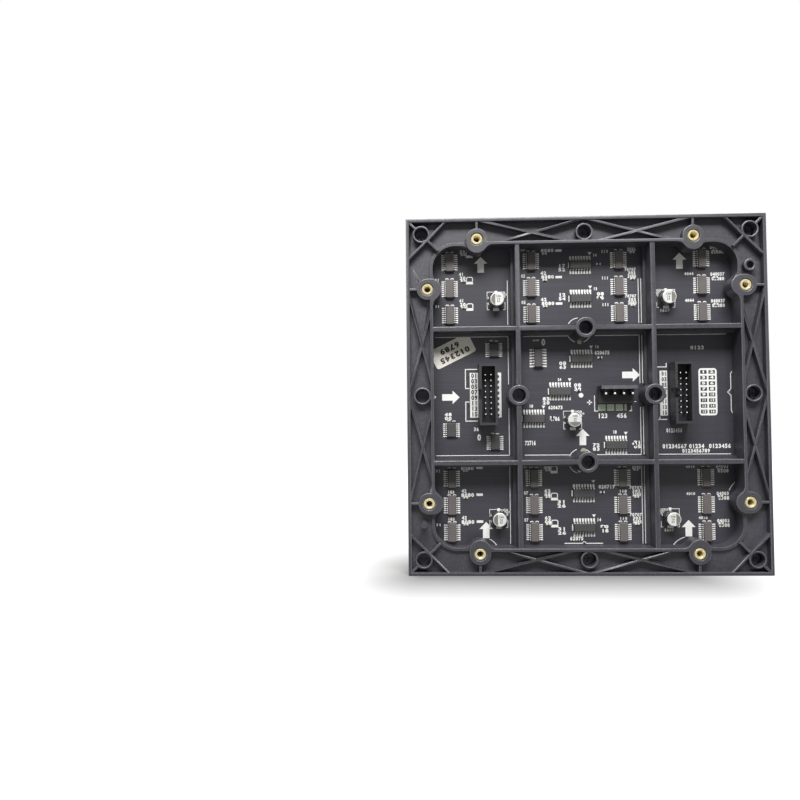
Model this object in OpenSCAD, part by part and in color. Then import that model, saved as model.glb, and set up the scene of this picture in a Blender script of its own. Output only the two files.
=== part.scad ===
// LED display module: a square dot matrix in front, its driver board, and an open rear frame.
// Each piece is drawn as seen from the rear: x to the right, y up, z towards the viewer, with z = 0
// on the frame's mounting face. upright() then stands the module on its lower edge, with the LED
// face towards -Y and the mounting face towards +Y.

/* [LED matrix] */
// Spacing of the LEDs
led_pitch = 2.5; // [2.4:0.05:3]
// LEDs along each side
led_count = 64; // [62:1:80]
// Width of one LED package
led_w = 2.1; // [1.4:0.1:2.2]
// Height of the LED packages
led_h = 1.8; // [1:0.1:2.5]
// Gap left on each side of the panel for tiling
tile_gap = 0.1; // [0.05:0.05:0.2]

/* [Circuit board] */
// Thickness of the board
board_t = 1.6; // [1:0.1:2.4]

/* [Rear frame] */
// Height of the frame above the board
frame_h = 10.6; // [10:0.1:14]
// Thickness of the outer rim
rim_t = 1.5; // [1:0.1:2]
// Distance from the panel's edge to the opening
band_w = 12; // [11.5:0.1:13]
// Thickness of the wall around the opening
wall_t = 1.4; // [1:0.1:1.8]
// Corner radius of the opening
opening_r = 10; // [7:0.5:11]
// Depth of the recess between rim and opening
recess = 3.5; // [2.5:0.1:4.5]
// Thickness of the recess floor
floor_t = 1.6; // [1:0.1:2.5]
// Drop of the opening's wall at its corners
corner_drop = 2.2; // [0.5:0.1:2.4]
// Distance of the ribs from the centre
rib_at = 30; // [28:0.5:33]
// Thickness of the ribs
rib_t = 2.1; // [1.4:0.1:2.8]
// Thickness of the ribs' feet
foot_t = 4.4; // [3:0.1:5]
// Height of the ribs' feet
foot_h = 2.5; // [1:0.1:4]
// Thickness of the braces
brace_t = 1.1; // [0.9:0.1:1.6]
// Drop of the ribs and braces below the mounting face
brace_drop = 0.4; // [0.2:0.1:1]
// Distance of the corner braces' ends from the corner
corner_brace = 18.5; // [17:0.5:20]
// Distance of the long braces' ends from the insert, along the wall
brace_start = 8.5; // [7:0.5:11]
// Distance of the long braces' ends from the middle of the side
brace_end = 5; // [4:0.5:8]

/* [Threaded inserts] */
// Distance of the inserts from the middle of each side
insert_along = 48; // [46:0.5:51]
// Distance of the inserts from the panel's edge
insert_edge = 9.5; // [8.5:0.1:10]
// Diameter of the bosses that hold the inserts
boss_d = 9.6; // [8.6:0.1:10.6]
// How much further the bosses reach into the opening
boss_reach = 1.5; // [0:0.1:1.8]
// Height above the board at which that reach starts, over the chips
boss_foot = 2.4; // [2.1:0.1:3]
// Radius of the fillets beside the bosses
boss_fillet = 4; // [2:0.5:5]
// Width of the step where a fillet runs out on its boss
fillet_land = 0.05; // [0.03:0.01:0.1]
// Outer diameter of the inserts
insert_d = 5.6; // [4.5:0.1:6.4]
// Thread bore of the inserts
insert_bore = 2.5; // [2:0.1:3.3]
// Length of the inserts
insert_len = 7; // [5:0.5:9]

/* [Screw tubes] */
// Distance of the edge tubes from the panel's edge
tube_edge = 6.9; // [6:0.1:7.4]
// Bore of the tubes
tube_bore = 6.1; // [5.6:0.1:6.4]
// Wall of the tubes on the ribs
rib_tube_wall = 1.5; // [1:0.1:1.8]
// Wall of the tubes along the edges
edge_tube_wall = 0.8; // [0.7:0.1:1.2]
// Thickness of the seats under the screw heads
seat_t = 1.5; // [1:0.1:2.5]

/* [Screws and nuts] */
// Thread diameter of the screws
screw_d = 2.9; // [2:0.1:3.2]
// Height of the screw heads
head_h = 1.8; // [1.2:0.1:2.5]
// Width of the cross slots
slot_w = 0.7; // [0.4:0.1:1]
// Length of the cross slots
slot_l = 3; // [2:0.1:3.6]
// Depth of the cross slots
slot_depth = 0.9; // [0.5:0.1:1.1]
// Height of the nuts on the board
nut_h = 2; // [1.5:0.1:3]
// Outer diameter of the nuts
nut_d = 5.2; // [4.4:0.1:5.6]

/* [Locating peg and hole] */
// Diameter of the peg
peg_d = 3; // [2:0.1:3.4]
// Height of the peg above the mounting face
peg_h = 3; // [1:0.5:5]
// Distance of peg and hole from the middle of their sides
peg_along = 57; // [56:0.5:58]
// Distance of peg and hole from the panel's edge
peg_edge = 7.2; // [6.6:0.1:7.8]
// Wall of the collar around the locating hole
collar_wall = 1.1; // [0.8:0.1:1.3]

/* [Column drivers] */
// Leads on each side of a column driver
driver_leads = 8; // [6:1:9]
// Lead spacing of a column driver
driver_pitch = 0.95; // [0.8:0.05:1]
// Room between a column driver's last lead and its end
driver_end = 1; // [0.7:0.05:1.1]
// Width of a column driver's body
driver_w = 3.9; // [3:0.1:4.4]
// Height of a column driver
driver_h = 1.6; // [1:0.1:2]
// Column drivers in each bay of the frame
bay_drivers = 3; // [2:1:3]
// Distance of the outer columns from the opening's edge
driver_wall_gap = 10.4; // [9:0.1:12]
// Distance of the inner columns from the ribs
driver_rib_gap = 10; // [9:0.1:12]
// Shift of all columns to the left
driver_shift = 2.5; // [0:0.1:3]
// Shift of all column drivers away from the middle of the board
driver_out = 0.4; // [0:0.1:0.8]

/* [Row drivers] */
// Leads on each side of a row driver
row_leads = 8; // [6:1:8]
// Lead spacing of a row driver
row_pitch = 1.27; // [1:0.01:1.27]
// Room between a row driver's last lead and its end
row_end = 0.5; // [0.4:0.01:0.6]
// Width of a row driver's body
row_w = 3.9; // [3:0.1:4.4]
// Height of a row driver
row_h = 1.7; // [1:0.1:2]
// Row drivers in each middle bay
bay_rows = 2; // [1:1:2]
// Place of the row driver left of the power header
left_row_at = [-10, 2]; // [-14:0.5:14]
// Room between the tubes on the ribs and the bays' row drivers
row_tube_gap = 2.25; // [0:0.05:4]
// Distance of the upper row driver from the rib above it
upper_row_gap = 13.1; // [10:0.1:15]
// Distance of the corner row driver from the rib beside it
corner_row_gap = 7.9; // [7.6:0.1:9]
// Height of the corner row driver
corner_row_y = -10.4; // [-14:0.1:-10]
// Place across of the lower row driver
lower_row_x = 15; // [13:0.1:17]
// Distance of the lower row driver from the rib below it
lower_row_gap = 7.3; // [6:0.1:8]

/* [Logic chips] */
// Leads on each side of a logic buffer
buffer_leads = 7; // [6:1:8]
// Lead spacing of a logic buffer
buffer_pitch = 0.95; // [0.8:0.05:1]
// Room between a logic buffer's last lead and its end
buffer_end = 0.4; // [0.3:0.05:0.6]
// Width of a logic buffer's body
buffer_w = 4.4; // [3.4:0.1:4.6]
// Height of a logic buffer
buffer_h = 1.2; // [1:0.1:1.6]
// Distance of two buffers from the ribs
buffer_rib_gap = 10; // [9:0.1:12]
// Heights of the two buffers beside the ribs
buffer_y = [21.3, -21.4]; // [-22:0.1:22]
// Distance of the outer buffer from the opening's edge
buffer_wall_gap = 8; // [6:0.1:10]
// Height of the outer buffer
outer_buffer_y = -15.4; // [-20:0.1:-14]
// Leads on each side of the gate chip
gate_leads = 7; // [5:1:8]
// Place of the gate chip
gate_at = [-19.8, 17.4]; // [-20:0.1:20]

/* [Leads] */
// Thickness of a lead
lead_t = 0.2; // [0.12:0.01:0.25]
// Share of the lead spacing that a lead fills
lead_fill = 0.4; // [0.3:0.05:0.5]
// Reach of the leads beside a body
lead_reach = 1.05; // [0.8:0.05:1.2]
// Gap between a body and the board
stand_off = 0.12; // [0.05:0.01:0.2]

/* [Chip bodies] */
// Taper of a moulded body on each side
chip_draft = 0.1; // [0.05:0.01:0.15]
// Diameter of the dimple at the first lead
dimple_d = 0.7; // [0.4:0.1:1]
// Depth of the dimple
dimple_depth = 0.08; // [0.05:0.01:0.15]

/* [Capacitors] */
// Diameter of the cans
can_d = 6.3; // [5:0.1:6.6]
// Height of a capacitor
can_h = 5.6; // [4.5:0.1:7.5]
// Width of the base
base_w = 6.6; // [6.3:0.1:7.2]
// Height of the base
base_h = 1; // [0.6:0.1:1.5]
// Cut at two corners of the base
base_cut = 1.2; // [0.8:0.1:1.6]
// Depth of the waist that is rolled into a can
waist = 0.25; // [0.1:0.05:0.4]
// Height of the waist above the can's lower edge
waist_h = 0.8; // [0.5:0.1:1.2]
// Width of a terminal
terminal_w = 0.8; // [0.5:0.1:1.2]
// Thickness of a terminal
terminal_t = 0.15; // [0.1:0.01:0.2]
// Reach of a terminal beside the base
terminal_reach = 0.6; // [0.3:0.1:1]
// Distance of four capacitors from the ribs
can_rib_gap = 8.7; // [8:0.1:10]
// Height of the upper capacitors above the rib
can_upper_gap = 14.1; // [10:0.1:16]
// Height of the lower capacitors below the rib
can_lower_gap = 25.9; // [20:0.1:26]
// Place of the middle capacitor
middle_can_at = [-4.5, -11.2]; // [-13:0.1:13]

/* [Signal headers] */
// Pin spacing of the signal headers
pin_pitch = 2.54; // [2:0.01:2.54]
// Pins in each row of a signal header
pin_count = 8; // [5:1:8]
// Width of a pin
pin_w = 0.64; // [0.4:0.02:0.7]
// Height of the pins above the board
pin_h = 7.4; // [5:0.1:8.4]
// Height of a shroud
shroud_h = 8.9; // [7:0.1:9.4]
// Width of a shroud
shroud_w = 8.2; // [7.6:0.1:9]
// Room between the last pin and a shroud's end
shroud_end = 4.9; // [3.8:0.1:5.2]
// Wall of a shroud
shroud_t = 1.1; // [0.8:0.1:1.4]
// Floor of a shroud
shroud_floor = 2.4; // [1:0.1:3]
// Width of the key slot
key_w = 4.5; // [3:0.1:5]
// Distance of the signal headers from the centre
header_at = 43.4; // [42:0.1:45]
// Height of the signal headers above the middle of the board
header_y = 0.6; // [-1:0.1:1]

/* [Power header] */
// Pin spacing of the power header
power_pitch = 3.96; // [3:0.02:4]
// Pins of the power header
power_count = 4; // [2:1:4]
// Width of a power pin
power_pin_w = 1.14; // [0.8:0.02:1.3]
// Height of the power pins above the board
power_pin_h = 8.4; // [6:0.1:9]
// Depth of the housing
power_depth = 7.8; // [6.5:0.1:8.4]
// Height of the housing's base
power_base_h = 3.2; // [2:0.1:4]
// Height of the housing's back wall
power_wall_h = 8.8; // [6:0.1:9.4]
// Thickness of the back wall
power_wall_t = 1.6; // [1:0.1:2]
// Distance from the pins to the back of the housing
power_back = 3.6; // [3:0.1:4]
// Place of the power header
power_at = [14.8, 0.5]; // [-2:0.1:16]

/* [Chip parts] */
// Length of a chip part
chip_l = 1.6; // [1:0.1:2]
// Width of a chip part
chip_w = 0.8; // [0.5:0.1:1.2]
// Height of a chip part
chip_h = 0.6; // [0.3:0.1:0.9]
// Place of a capacitor beside its column driver
chip_beside_driver = [6.3, 3.6]; // [3:0.1:7]
// Place of a resistor beside its row driver
chip_beside_row = [8.4, 0.4]; // [-2:0.1:9]

/* [Label] */
// Length of the label
label_l = 20; // [12:0.5:20.5]
// Width of the label
label_w = 9.4; // [6:0.1:10]
// Thickness of the label
label_t = 0.12; // [0.08:0.01:0.2]
// Corner radius of the label
label_r = 1.2; // [0.5:0.1:2]
// Turn of the label
label_turn = 26; // [0:1:28]
// Distance of the label's centre from the opening's edge
label_gap = 8.9; // [8.5:0.1:11]
// Height of the label's centre
label_y = 21; // [18:0.1:21.5]

/* [Clearances] */
// Gap around a thread
thread_gap = 0.05; // [0.02:0.01:0.1]
// Gap around a screw in its seat
screw_gap = 0.15; // [0.1:0.01:0.3]
// Gap around a screw head in its tube
head_gap = 0.2; // [0.1:0.01:0.3]
// Gap around a nut in its socket
nut_gap = 0.1; // [0.05:0.01:0.2]
// Gap around an insert in its boss
insert_gap = 0.02; // [0.01:0.01:0.05]
// Gap around a peg in a locating hole
peg_gap = 0.1; // [0.05:0.01:0.2]
// Gap around a pin in its shroud
pin_gap = 0.03; // [0.02:0.01:0.06]
// Gap around a pin in the board
hole_gap = 0.06; // [0.04:0.01:0.1]
// Gap between a screw's tip and the board
tip_gap = 0.3; // [0.1:0.05:0.5]
// Gap between the label and the frame that cuts it
label_clear = 0.2; // [0.1:0.05:0.4]

/* [Hidden] */
$fn = 48;
// Sides of the module and of the frame's opening
panel = led_pitch * led_count - 2 * tile_gap;
half = panel / 2;
opening = panel - 2 * band_w;
edge = opening / 2;
// Distances of inserts, tubes and pegs from the centre
insert_at = half - insert_edge;
tube_at = half - tube_edge;
peg_at = half - peg_edge;
// Heights of the screw seats and of the braces above the board
seat_z = nut_h + seat_t;
floor_z = frame_h - recess;
brace_z = frame_h - brace_drop;
head_d = tube_bore - 2 * head_gap;
rib_tube_d = tube_bore + 2 * rib_tube_wall;
edge_tube_d = tube_bore + 2 * edge_tube_wall;
locating_bore = peg_d + 2 * peg_gap;
// Overlap that joins the pieces of one moulding
joint = 0.1;
// Height of the braces, from just inside the recess floor
brace_h = joint + recess - brace_drop;
// Reach of a cut past the surface that it opens
over = 1;

tube_places = [
    for (s = [-1, 1]) [0, s * rib_at],
    for (s = [-1, 1]) [s * rib_at, 0],
    for (s = [-1, 1]) [0, s * tube_at],
    for (s = [-1, 1]) [s * tube_at, 0],
    for (s = [-1, 1], t = [-1, 1]) [s * tube_at, t * tube_at]
];
insert_places = [
    for (s = [-1, 1], t = [-1, 1]) [s * insert_along, t * insert_at],
    for (s = [-1, 1], t = [-1, 1]) [s * insert_at, t * insert_along]
];

// Centre of part k of n that share the bay between two lines
function share(from, to, k, n) = from + (k + 0.5) * (to - from) / n;

driver_columns = [
    for (x = [-(edge - driver_wall_gap), -(rib_at - driver_rib_gap),
              rib_at - driver_rib_gap, edge - driver_wall_gap]) x - driver_shift
];
driver_places = [
    for (s = [1, -1], k = [0:bay_drivers - 1], x = driver_columns)
        [x, s * (share(rib_at + rib_t / 2, edge, k, bay_drivers) + driver_out)]
];
row_bay = rib_at + rib_tube_d / 2 + row_tube_gap;
row_places = [
    for (s = [1, -1], k = [0:bay_rows - 1]) [0, s * share(row_bay, edge, k, bay_rows)],
    [0, rib_at - upper_row_gap],
    left_row_at,
    [-rib_at + corner_row_gap, corner_row_y],
    [lower_row_x, -rib_at + lower_row_gap]
];
buffer_places = [
    for (y = buffer_y) [-rib_at - buffer_rib_gap, y],
    [-edge + buffer_wall_gap, outer_buffer_y]
];
can_x = rib_at + can_rib_gap;
can_places = [
    [-can_x, rib_at + can_upper_gap],
    [can_x, rib_at + can_upper_gap],
    middle_can_at,
    [-can_x, -rib_at - can_lower_gap],
    [can_x, -rib_at - can_lower_gap]
];
header_places = [[-header_at, header_y], [header_at, header_y]];
header_names = ["input", "output"];

driver_nodes = [for (i = [1:len(driver_places)]) str("column_driver_", i)];
row_nodes = [for (i = [1:len(row_places)]) str("row_driver_", i)];
buffer_nodes = [for (i = [1:len(buffer_places)]) str("logic_buffer_", i)];
can_nodes = [for (i = [1:len(can_places)]) str("capacitor_", i)];
shroud_nodes = [for (n = header_names) str(n, "_header_shroud")];
pin_nodes = [for (n = header_names) str(n, "_header_pins")];

// Stands the module up, seen from the rear as drawn
module upright() rotate([90, 0, 180]) children();

// Puts a piece on the rear face of the circuit board
module on_board() upright() translate([0, 0, -frame_h]) children();

// Repeats a piece on the four sides of the panel
module four_sides() for (a = [0:90:270]) rotate(a) children();

// Repeats a piece on both sides of x = 0
module both_halves() for (s = [0, 1]) mirror([s, 0, 0]) children();

// A straight wall between two points of the plan
module strut(from, to, t, h) {
    run = to - from;
    translate(from) rotate(atan2(run.y, run.x)) translate([0, -t / 2, 0]) cube([norm(run), t, h]);
}

// A square with round corners, in plan
module round_square(w, r) {
    square([w, w - 2 * r], center = true);
    square([w - 2 * r, w], center = true);
    for (x = [-1, 1], y = [-1, 1]) translate([x, y] * (w / 2 - r)) circle(r);
}

// The outer rim and the recessed floor inside it
module rim() {
    linear_extrude(frame_h) difference() {
        square(panel, center = true);
        square(panel - 2 * rim_t, center = true);
    }
    translate([0, 0, floor_z - floor_t]) linear_extrude(floor_t) difference() {
        square(panel - 2 * joint, center = true);
        round_square(opening, opening_r);
    }
}

// The wall around the opening, lower at its corners
module opening_wall() difference() {
    linear_extrude(frame_h) difference() {
        round_square(opening + 2 * wall_t, opening_r + wall_t);
        round_square(opening, opening_r);
    }
    for (x = [0, 1], y = [0, 1]) mirror([x, 0, 0]) mirror([0, y, 0])
        translate([insert_along, insert_along, frame_h - corner_drop]) cube([half, half, frame_h]);
}

// The ribs across the opening, with wider feet on the board
module ribs() for (s = [-1, 1], a = [0, 90]) rotate(a) translate([s * rib_at, 0, 0]) {
    translate([-rib_t / 2, -edge - joint, 0]) cube([rib_t, opening + 2 * joint, brace_z]);
    translate([-foot_t / 2, -edge - joint, 0]) cube([foot_t, opening + 2 * joint, foot_h]);
}

// The bosses for the inserts, with their fillets and short ribs, on one side; a fillet is as high
// as the wall that it runs into
module insert_bosses() both_halves() translate([insert_along, insert_at, 0]) {
    cylinder(d = boss_d, h = frame_h);
    translate([0, 0, floor_z - joint]) strut([0, 0], [0, insert_edge - rim_t / 2], brace_t, brace_h);
    rise = frame_h - boss_foot;
    drop = insert_at - boss_reach - edge;
    across = sqrt(pow(boss_d / 2 + fillet_land + boss_fillet, 2) - pow(drop + boss_fillet, 2));
    translate([0, -boss_reach, boss_foot]) {
        cylinder(d = boss_d, h = rise);
        for (s = [0, 1]) mirror([s, 0, 0]) linear_extrude(rise - (1 - s) * corner_drop) difference() {
            polygon([[0, 0], [across, joint - drop], [across, -drop - boss_fillet]]);
            translate([across, -drop - boss_fillet]) circle(boss_fillet);
        }
    }
}

// The crossed braces on one side and the braces at one corner
module braces() translate([0, 0, floor_z - joint]) {
    wall_y = edge + wall_t / 2;
    rim_y = half - rim_t / 2;
    both_halves() {
        strut([insert_along, rim_y], [brace_end, wall_y], brace_t, brace_h);
        strut([insert_along - brace_start, wall_y], [0, rim_y], brace_t, brace_h);
    }
    strut([half - corner_brace, rim_y], [rim_y, half - corner_brace], brace_t, brace_h);
    inner = edge - opening_r + (opening_r + wall_t / 2) / sqrt(2);
    ring = (edge_tube_d - edge_tube_wall) / 2 / sqrt(2);
    strut([inner, inner], [tube_at - ring, tube_at - ring], brace_t, brace_h);
    strut([tube_at + ring, tube_at + ring], [rim_y, rim_y], brace_t, brace_h);
}

// The tubes for the screws: tall ones on the ribs, thin rings above the recess floor
module tubes() for (p = tube_places) translate(p) {
    on_rib = norm(p) < edge;
    cylinder(d = rib_tube_d, h = on_rib ? frame_h : floor_z);
    cylinder(d = on_rib ? rib_tube_d : edge_tube_d, h = brace_z);
}

module rear_frame() color("#3a383f") on_board() difference() {
    union() {
        rim();
        opening_wall();
        ribs();
        four_sides() {
            insert_bosses();
            braces();
        }
        tubes();
        translate([-peg_at, -peg_along, floor_z - joint])
            cylinder(d = peg_d, h = joint + recess + peg_h);
        translate([peg_at, peg_along, floor_z - joint])
            cylinder(d = locating_bore + 2 * collar_wall, h = brace_h);
    }
    for (p = tube_places) translate(p) {
        translate([0, 0, seat_z]) cylinder(d = tube_bore, h = frame_h);
        translate([0, 0, -over]) cylinder(d = screw_d + 2 * screw_gap, h = frame_h);
        translate([0, 0, -over]) cylinder(d = nut_d + 2 * nut_gap, h = over + nut_h);
    }
    for (p = insert_places) translate([p.x, p.y, frame_h - insert_len])
        cylinder(d = insert_d + 2 * insert_gap, h = insert_len + over);
    translate([peg_at, peg_along, floor_z]) cylinder(d = locating_bore, h = frame_h);
}

module threaded_inserts() color("#e2c368") on_board()
    for (p = insert_places) translate([p.x, p.y, frame_h - insert_len]) difference() {
        cylinder(d = insert_d, h = insert_len);
        translate([0, 0, -over]) cylinder(d = insert_bore, h = insert_len + 2 * over);
    }

module frame_screws() color("#1c1c1e") on_board() for (p = tube_places) translate(p) difference() {
    union() {
        translate([0, 0, seat_z]) cylinder(d = head_d, h = head_h);
        translate([0, 0, tip_gap]) cylinder(d = screw_d, h = seat_z - tip_gap + joint);
    }
    translate([0, 0, seat_z + head_h]) for (a = [0, 90]) rotate(a)
        cube([slot_l, slot_w, 2 * slot_depth], center = true);
}

module solder_nuts() color("#b9b7b0") on_board() for (p = tube_places) translate(p) difference() {
    cylinder(d = nut_d, h = nut_h);
    translate([0, 0, -over]) cylinder(d = screw_d + 2 * thread_gap, h = nut_h + 2 * over);
}

// Repeats a piece at every pin of a signal header
module at_pins() for (r = [-0.5, 0.5], k = [0:pin_count - 1])
    translate([r, k - (pin_count - 1) / 2] * pin_pitch) children();

// Repeats a piece at every pin of the power header
module at_power_pins() for (k = [0:power_count - 1])
    translate([(k - (power_count - 1) / 2) * power_pitch, 0]) children();

// A square pin from the board's front face up to a height
module pin(w, h) translate([-w / 2, -w / 2, -board_t]) cube([w, w, board_t + h]);

// A round hole through the board for a square pin
module pin_hole(w) translate([0, 0, -board_t - over])
    cylinder(d = w * sqrt(2) + 2 * hole_gap, h = board_t + 2 * over);

module circuit_board() color("#37353c") on_board() difference() {
    translate([-half, -half, -board_t]) cube([panel, panel, board_t]);
    for (p = header_places) translate(p) at_pins() pin_hole(pin_w);
    translate(power_at) at_power_pins() pin_hole(power_pin_w);
}

module led_rows() color("#4a463f") on_board() for (k = [0:led_count - 1]) {
    row = (led_count - 1) * led_pitch + led_w;
    translate([-row / 2, (k - (led_count - 1) / 2) * led_pitch - led_w / 2, -board_t - led_h])
        cube([row, led_w, led_h]);
}

module header_shroud(i) color("#1d1c20") on_board() translate(header_places[i]) difference() {
    l = (pin_count - 1) * pin_pitch + 2 * shroud_end;
    cavity = [shroud_w - 2 * shroud_t, l - 2 * shroud_t, shroud_h];
    hole = pin_w + 2 * pin_gap;
    translate([-shroud_w / 2, -l / 2, 0]) cube([shroud_w, l, shroud_h]);
    translate([-cavity.x / 2, -cavity.y / 2, shroud_floor]) cube(cavity);
    translate([-shroud_w / 2 - over, -key_w / 2, shroud_floor]) cube([shroud_t + 2 * over, key_w, shroud_h]);
    at_pins() translate([-hole / 2, -hole / 2, -over]) cube([hole, hole, shroud_h]);
}

module header_pins(i) color("#d8c48a") on_board() translate(header_places[i])
    at_pins() pin(pin_w, pin_h);

module power_header_housing() color("#222125") on_board() translate(power_at) difference() {
    w = power_count * power_pitch;
    hole = power_pin_w + 2 * pin_gap;
    translate([-w / 2, power_back - power_depth, 0]) {
        cube([w, power_depth, power_base_h]);
        translate([0, power_depth - power_wall_t, 0]) cube([w, power_wall_t, power_wall_h]);
    }
    at_power_pins() translate([-hole / 2, -hole / 2, -over]) cube([hole, hole, power_wall_h]);
}

module power_header_pins() color("#d9d6cc") on_board() translate(power_at)
    at_power_pins() pin(power_pin_w, power_pin_h);

// A moulded chip with bent leads on its two long sides, its length along y
module leaded_chip(leads, pitch, end, w, h) {
    l = (leads - 1) * pitch + 2 * end;
    lead_w = pitch * lead_fill;
    side = w / 2;
    slim = side - chip_draft;
    middle = (h + stand_off) / 2;
    bend = side + lead_reach / 3;
    foot = side + lead_reach / 2;
    difference() {
        translate([0, l / 2, 0]) rotate([90, 0, 0]) linear_extrude(l) polygon([
            [-slim, stand_off], [slim, stand_off], [side, middle], [slim, h], [-slim, h], [-side, middle]
        ]);
        translate([-slim + dimple_d, l / 2 - dimple_d, h - dimple_depth]) cylinder(d = dimple_d, h = over);
    }
    both_halves() for (k = [0:leads - 1]) translate([0, (k - (leads - 1) / 2) * pitch + lead_w / 2, 0])
        rotate([90, 0, 0]) linear_extrude(lead_w) polygon([
            [slim - joint, middle - lead_t / 2], [bend - lead_t, middle - lead_t / 2], [foot - lead_t, 0],
            [side + lead_reach, 0], [side + lead_reach, lead_t], [foot, lead_t],
            [bend, middle + lead_t / 2], [slim - joint, middle + lead_t / 2]
        ]);
}

module column_driver(i) color("#6a6361") on_board() translate(driver_places[i])
    leaded_chip(driver_leads, driver_pitch, driver_end, driver_w, driver_h);

module row_driver(i) color("#6a6361") on_board() translate(row_places[i]) rotate(90)
    leaded_chip(row_leads, row_pitch, row_end, row_w, row_h);

module logic_buffer(i) color("#5f5a5a") on_board() translate(buffer_places[i])
    leaded_chip(buffer_leads, buffer_pitch, buffer_end, buffer_w, buffer_h);

module logic_gate() color("#5f5a5a") on_board() translate(gate_at)
    leaded_chip(gate_leads, row_pitch, row_end, row_w, row_h);

// A can with a rolled waist on a base with two cut corners and two flat terminals
module capacitor(i) color("#cfcfcb") on_board() translate(can_places[i]) {
    b = base_w / 2;
    translate([0, 0, terminal_t]) linear_extrude(base_h - terminal_t) polygon([
        [-b, -b], [b, -b], [b, b - base_cut], [b - base_cut, b], [base_cut - b, b], [-b, b - base_cut]
    ]);
    translate([0, 0, base_h - joint]) rotate_extrude() polygon([
        [0, 0], [can_d / 2, 0], [can_d / 2, waist_h], [can_d / 2 - waist, waist_h + waist],
        [can_d / 2, waist_h + 2 * waist], [can_d / 2, can_h - base_h + joint], [0, can_h - base_h + joint]
    ]);
    translate([-terminal_w / 2, -b - terminal_reach, 0])
        cube([terminal_w, base_w + 2 * terminal_reach, terminal_t + joint]);
}

// A chip part lying flat on the board
module chip_part() translate([-chip_l / 2, -chip_w / 2, 0]) cube([chip_l, chip_w, chip_h]);

module chip_capacitors() color("#8a7358") on_board()
    for (p = driver_places) translate(p + chip_beside_driver) chip_part();

module chip_resistors() color("#262628") on_board()
    for (p = row_places) translate(p + chip_beside_row) chip_part();

// A label with round corners, cut straight along the opening's wall and the foot of the upper rib
module label() color("#efe9dd") on_board() intersection() {
    translate([label_gap - edge, label_y, 0]) rotate(label_turn) linear_extrude(label_t) {
        square([label_l, label_w - 2 * label_r], center = true);
        square([label_l - 2 * label_r, label_w], center = true);
        for (x = [-1, 1], y = [-1, 1])
            translate([x * (label_l / 2 - label_r), y * (label_w / 2 - label_r)]) circle(label_r);
    }
    translate([label_clear - edge, 0, 0]) cube([edge, rib_at - foot_t / 2 - label_clear, frame_h]);
}

rear_frame();
threaded_inserts();
frame_screws();
solder_nuts();
circuit_board();
led_rows();
for (i = [0:len(header_names) - 1]) {
    header_shroud(i);
    header_pins(i);
}
power_header_housing();
power_header_pins();
for (i = [0:len(driver_places) - 1]) column_driver(i);
for (i = [0:len(row_places) - 1]) row_driver(i);
for (i = [0:len(buffer_places) - 1]) logic_buffer(i);
logic_gate();
for (i = [0:len(can_places) - 1]) capacitor(i);
chip_capacitors();
chip_resistors();
label();
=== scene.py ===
from math import copysign, cos, hypot, pi, radians, sin

import bmesh
import bpy
import numpy as np
from mathutils import Matrix, Vector

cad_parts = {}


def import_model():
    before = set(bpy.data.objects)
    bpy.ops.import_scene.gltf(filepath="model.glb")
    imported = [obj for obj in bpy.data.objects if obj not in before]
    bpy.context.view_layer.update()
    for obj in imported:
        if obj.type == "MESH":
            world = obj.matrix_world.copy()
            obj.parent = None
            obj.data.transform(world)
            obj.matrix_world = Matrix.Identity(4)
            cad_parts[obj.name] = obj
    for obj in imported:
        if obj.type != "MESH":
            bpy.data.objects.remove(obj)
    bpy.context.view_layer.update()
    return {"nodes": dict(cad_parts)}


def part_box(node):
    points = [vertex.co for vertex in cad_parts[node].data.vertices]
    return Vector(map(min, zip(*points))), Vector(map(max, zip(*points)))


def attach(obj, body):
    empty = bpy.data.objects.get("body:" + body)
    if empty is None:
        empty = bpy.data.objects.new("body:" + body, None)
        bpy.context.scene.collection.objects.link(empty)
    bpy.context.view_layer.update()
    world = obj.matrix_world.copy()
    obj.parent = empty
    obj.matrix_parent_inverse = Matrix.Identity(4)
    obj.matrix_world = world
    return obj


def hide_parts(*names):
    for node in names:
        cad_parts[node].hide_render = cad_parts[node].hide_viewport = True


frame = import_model()
nodes = frame["nodes"]
scene = bpy.context.scene

# Shared sizes, in millimetres, and counts
MM = 0.001
HALF = 79.9
FRAME_H = 10.6
BOARD_T = 1.6
INK = 0.02
PIN_PITCH = 2.54
PIN_ROWS = 8
POWER_AT = (14.8, 0.5)
POWER_PITCH = 3.96
POWER_PINS = 4
DRIVERS = 24
ROW_DRIVERS = 8
BUFFERS = 3
CANS = 5

# Pieces are drawn as seen from the rear: u right, v up, and w off the board
TO_PART = Matrix.Diagonal((MM, MM, MM, 1)) @ Matrix((
    (-1, 0, 0, 0),
    (0, 0, 1, -FRAME_H),
    (0, 1, 0, 0),
    (0, 0, 0, 1),
))


def numbered(kind, count):
    """Names of the CAD nodes of a kind, counted from one."""
    return [f"{kind}_{n}" for n in range(1, count + 1)]


def place(node):
    """Middle of a CAD node on the board, as u and v."""
    low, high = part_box(node)
    return -(low.x + high.x) / 2 / MM, (low.z + high.z) / 2 / MM


# Materials

# Values between which a noise texture mostly lies
NOISE_LOW = 0.3
NOISE_HIGH = 0.7
# Noise scale of a surface's wide patches
PATCHES = 45.0
# How far roughness goes below and above its middle
GLOSSIER = 0.06
DULLER = 0.07
# Height of grain and of a film, in metres
GRAIN_H = 0.00006
FILM_H = 0.00003
WHITE = (1.0, 1.0, 1.0, 1)


def srgb(text):
    """Linear colour of a hex code."""
    out = []
    for k in (1, 3, 5):
        c = int(text[k:k + 2], 16) / 255
        out.append(c / 12.92 if c <= 0.04045 else ((c + 0.055) / 1.055) ** 2.4)
    return (*out, 1.0)


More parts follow.
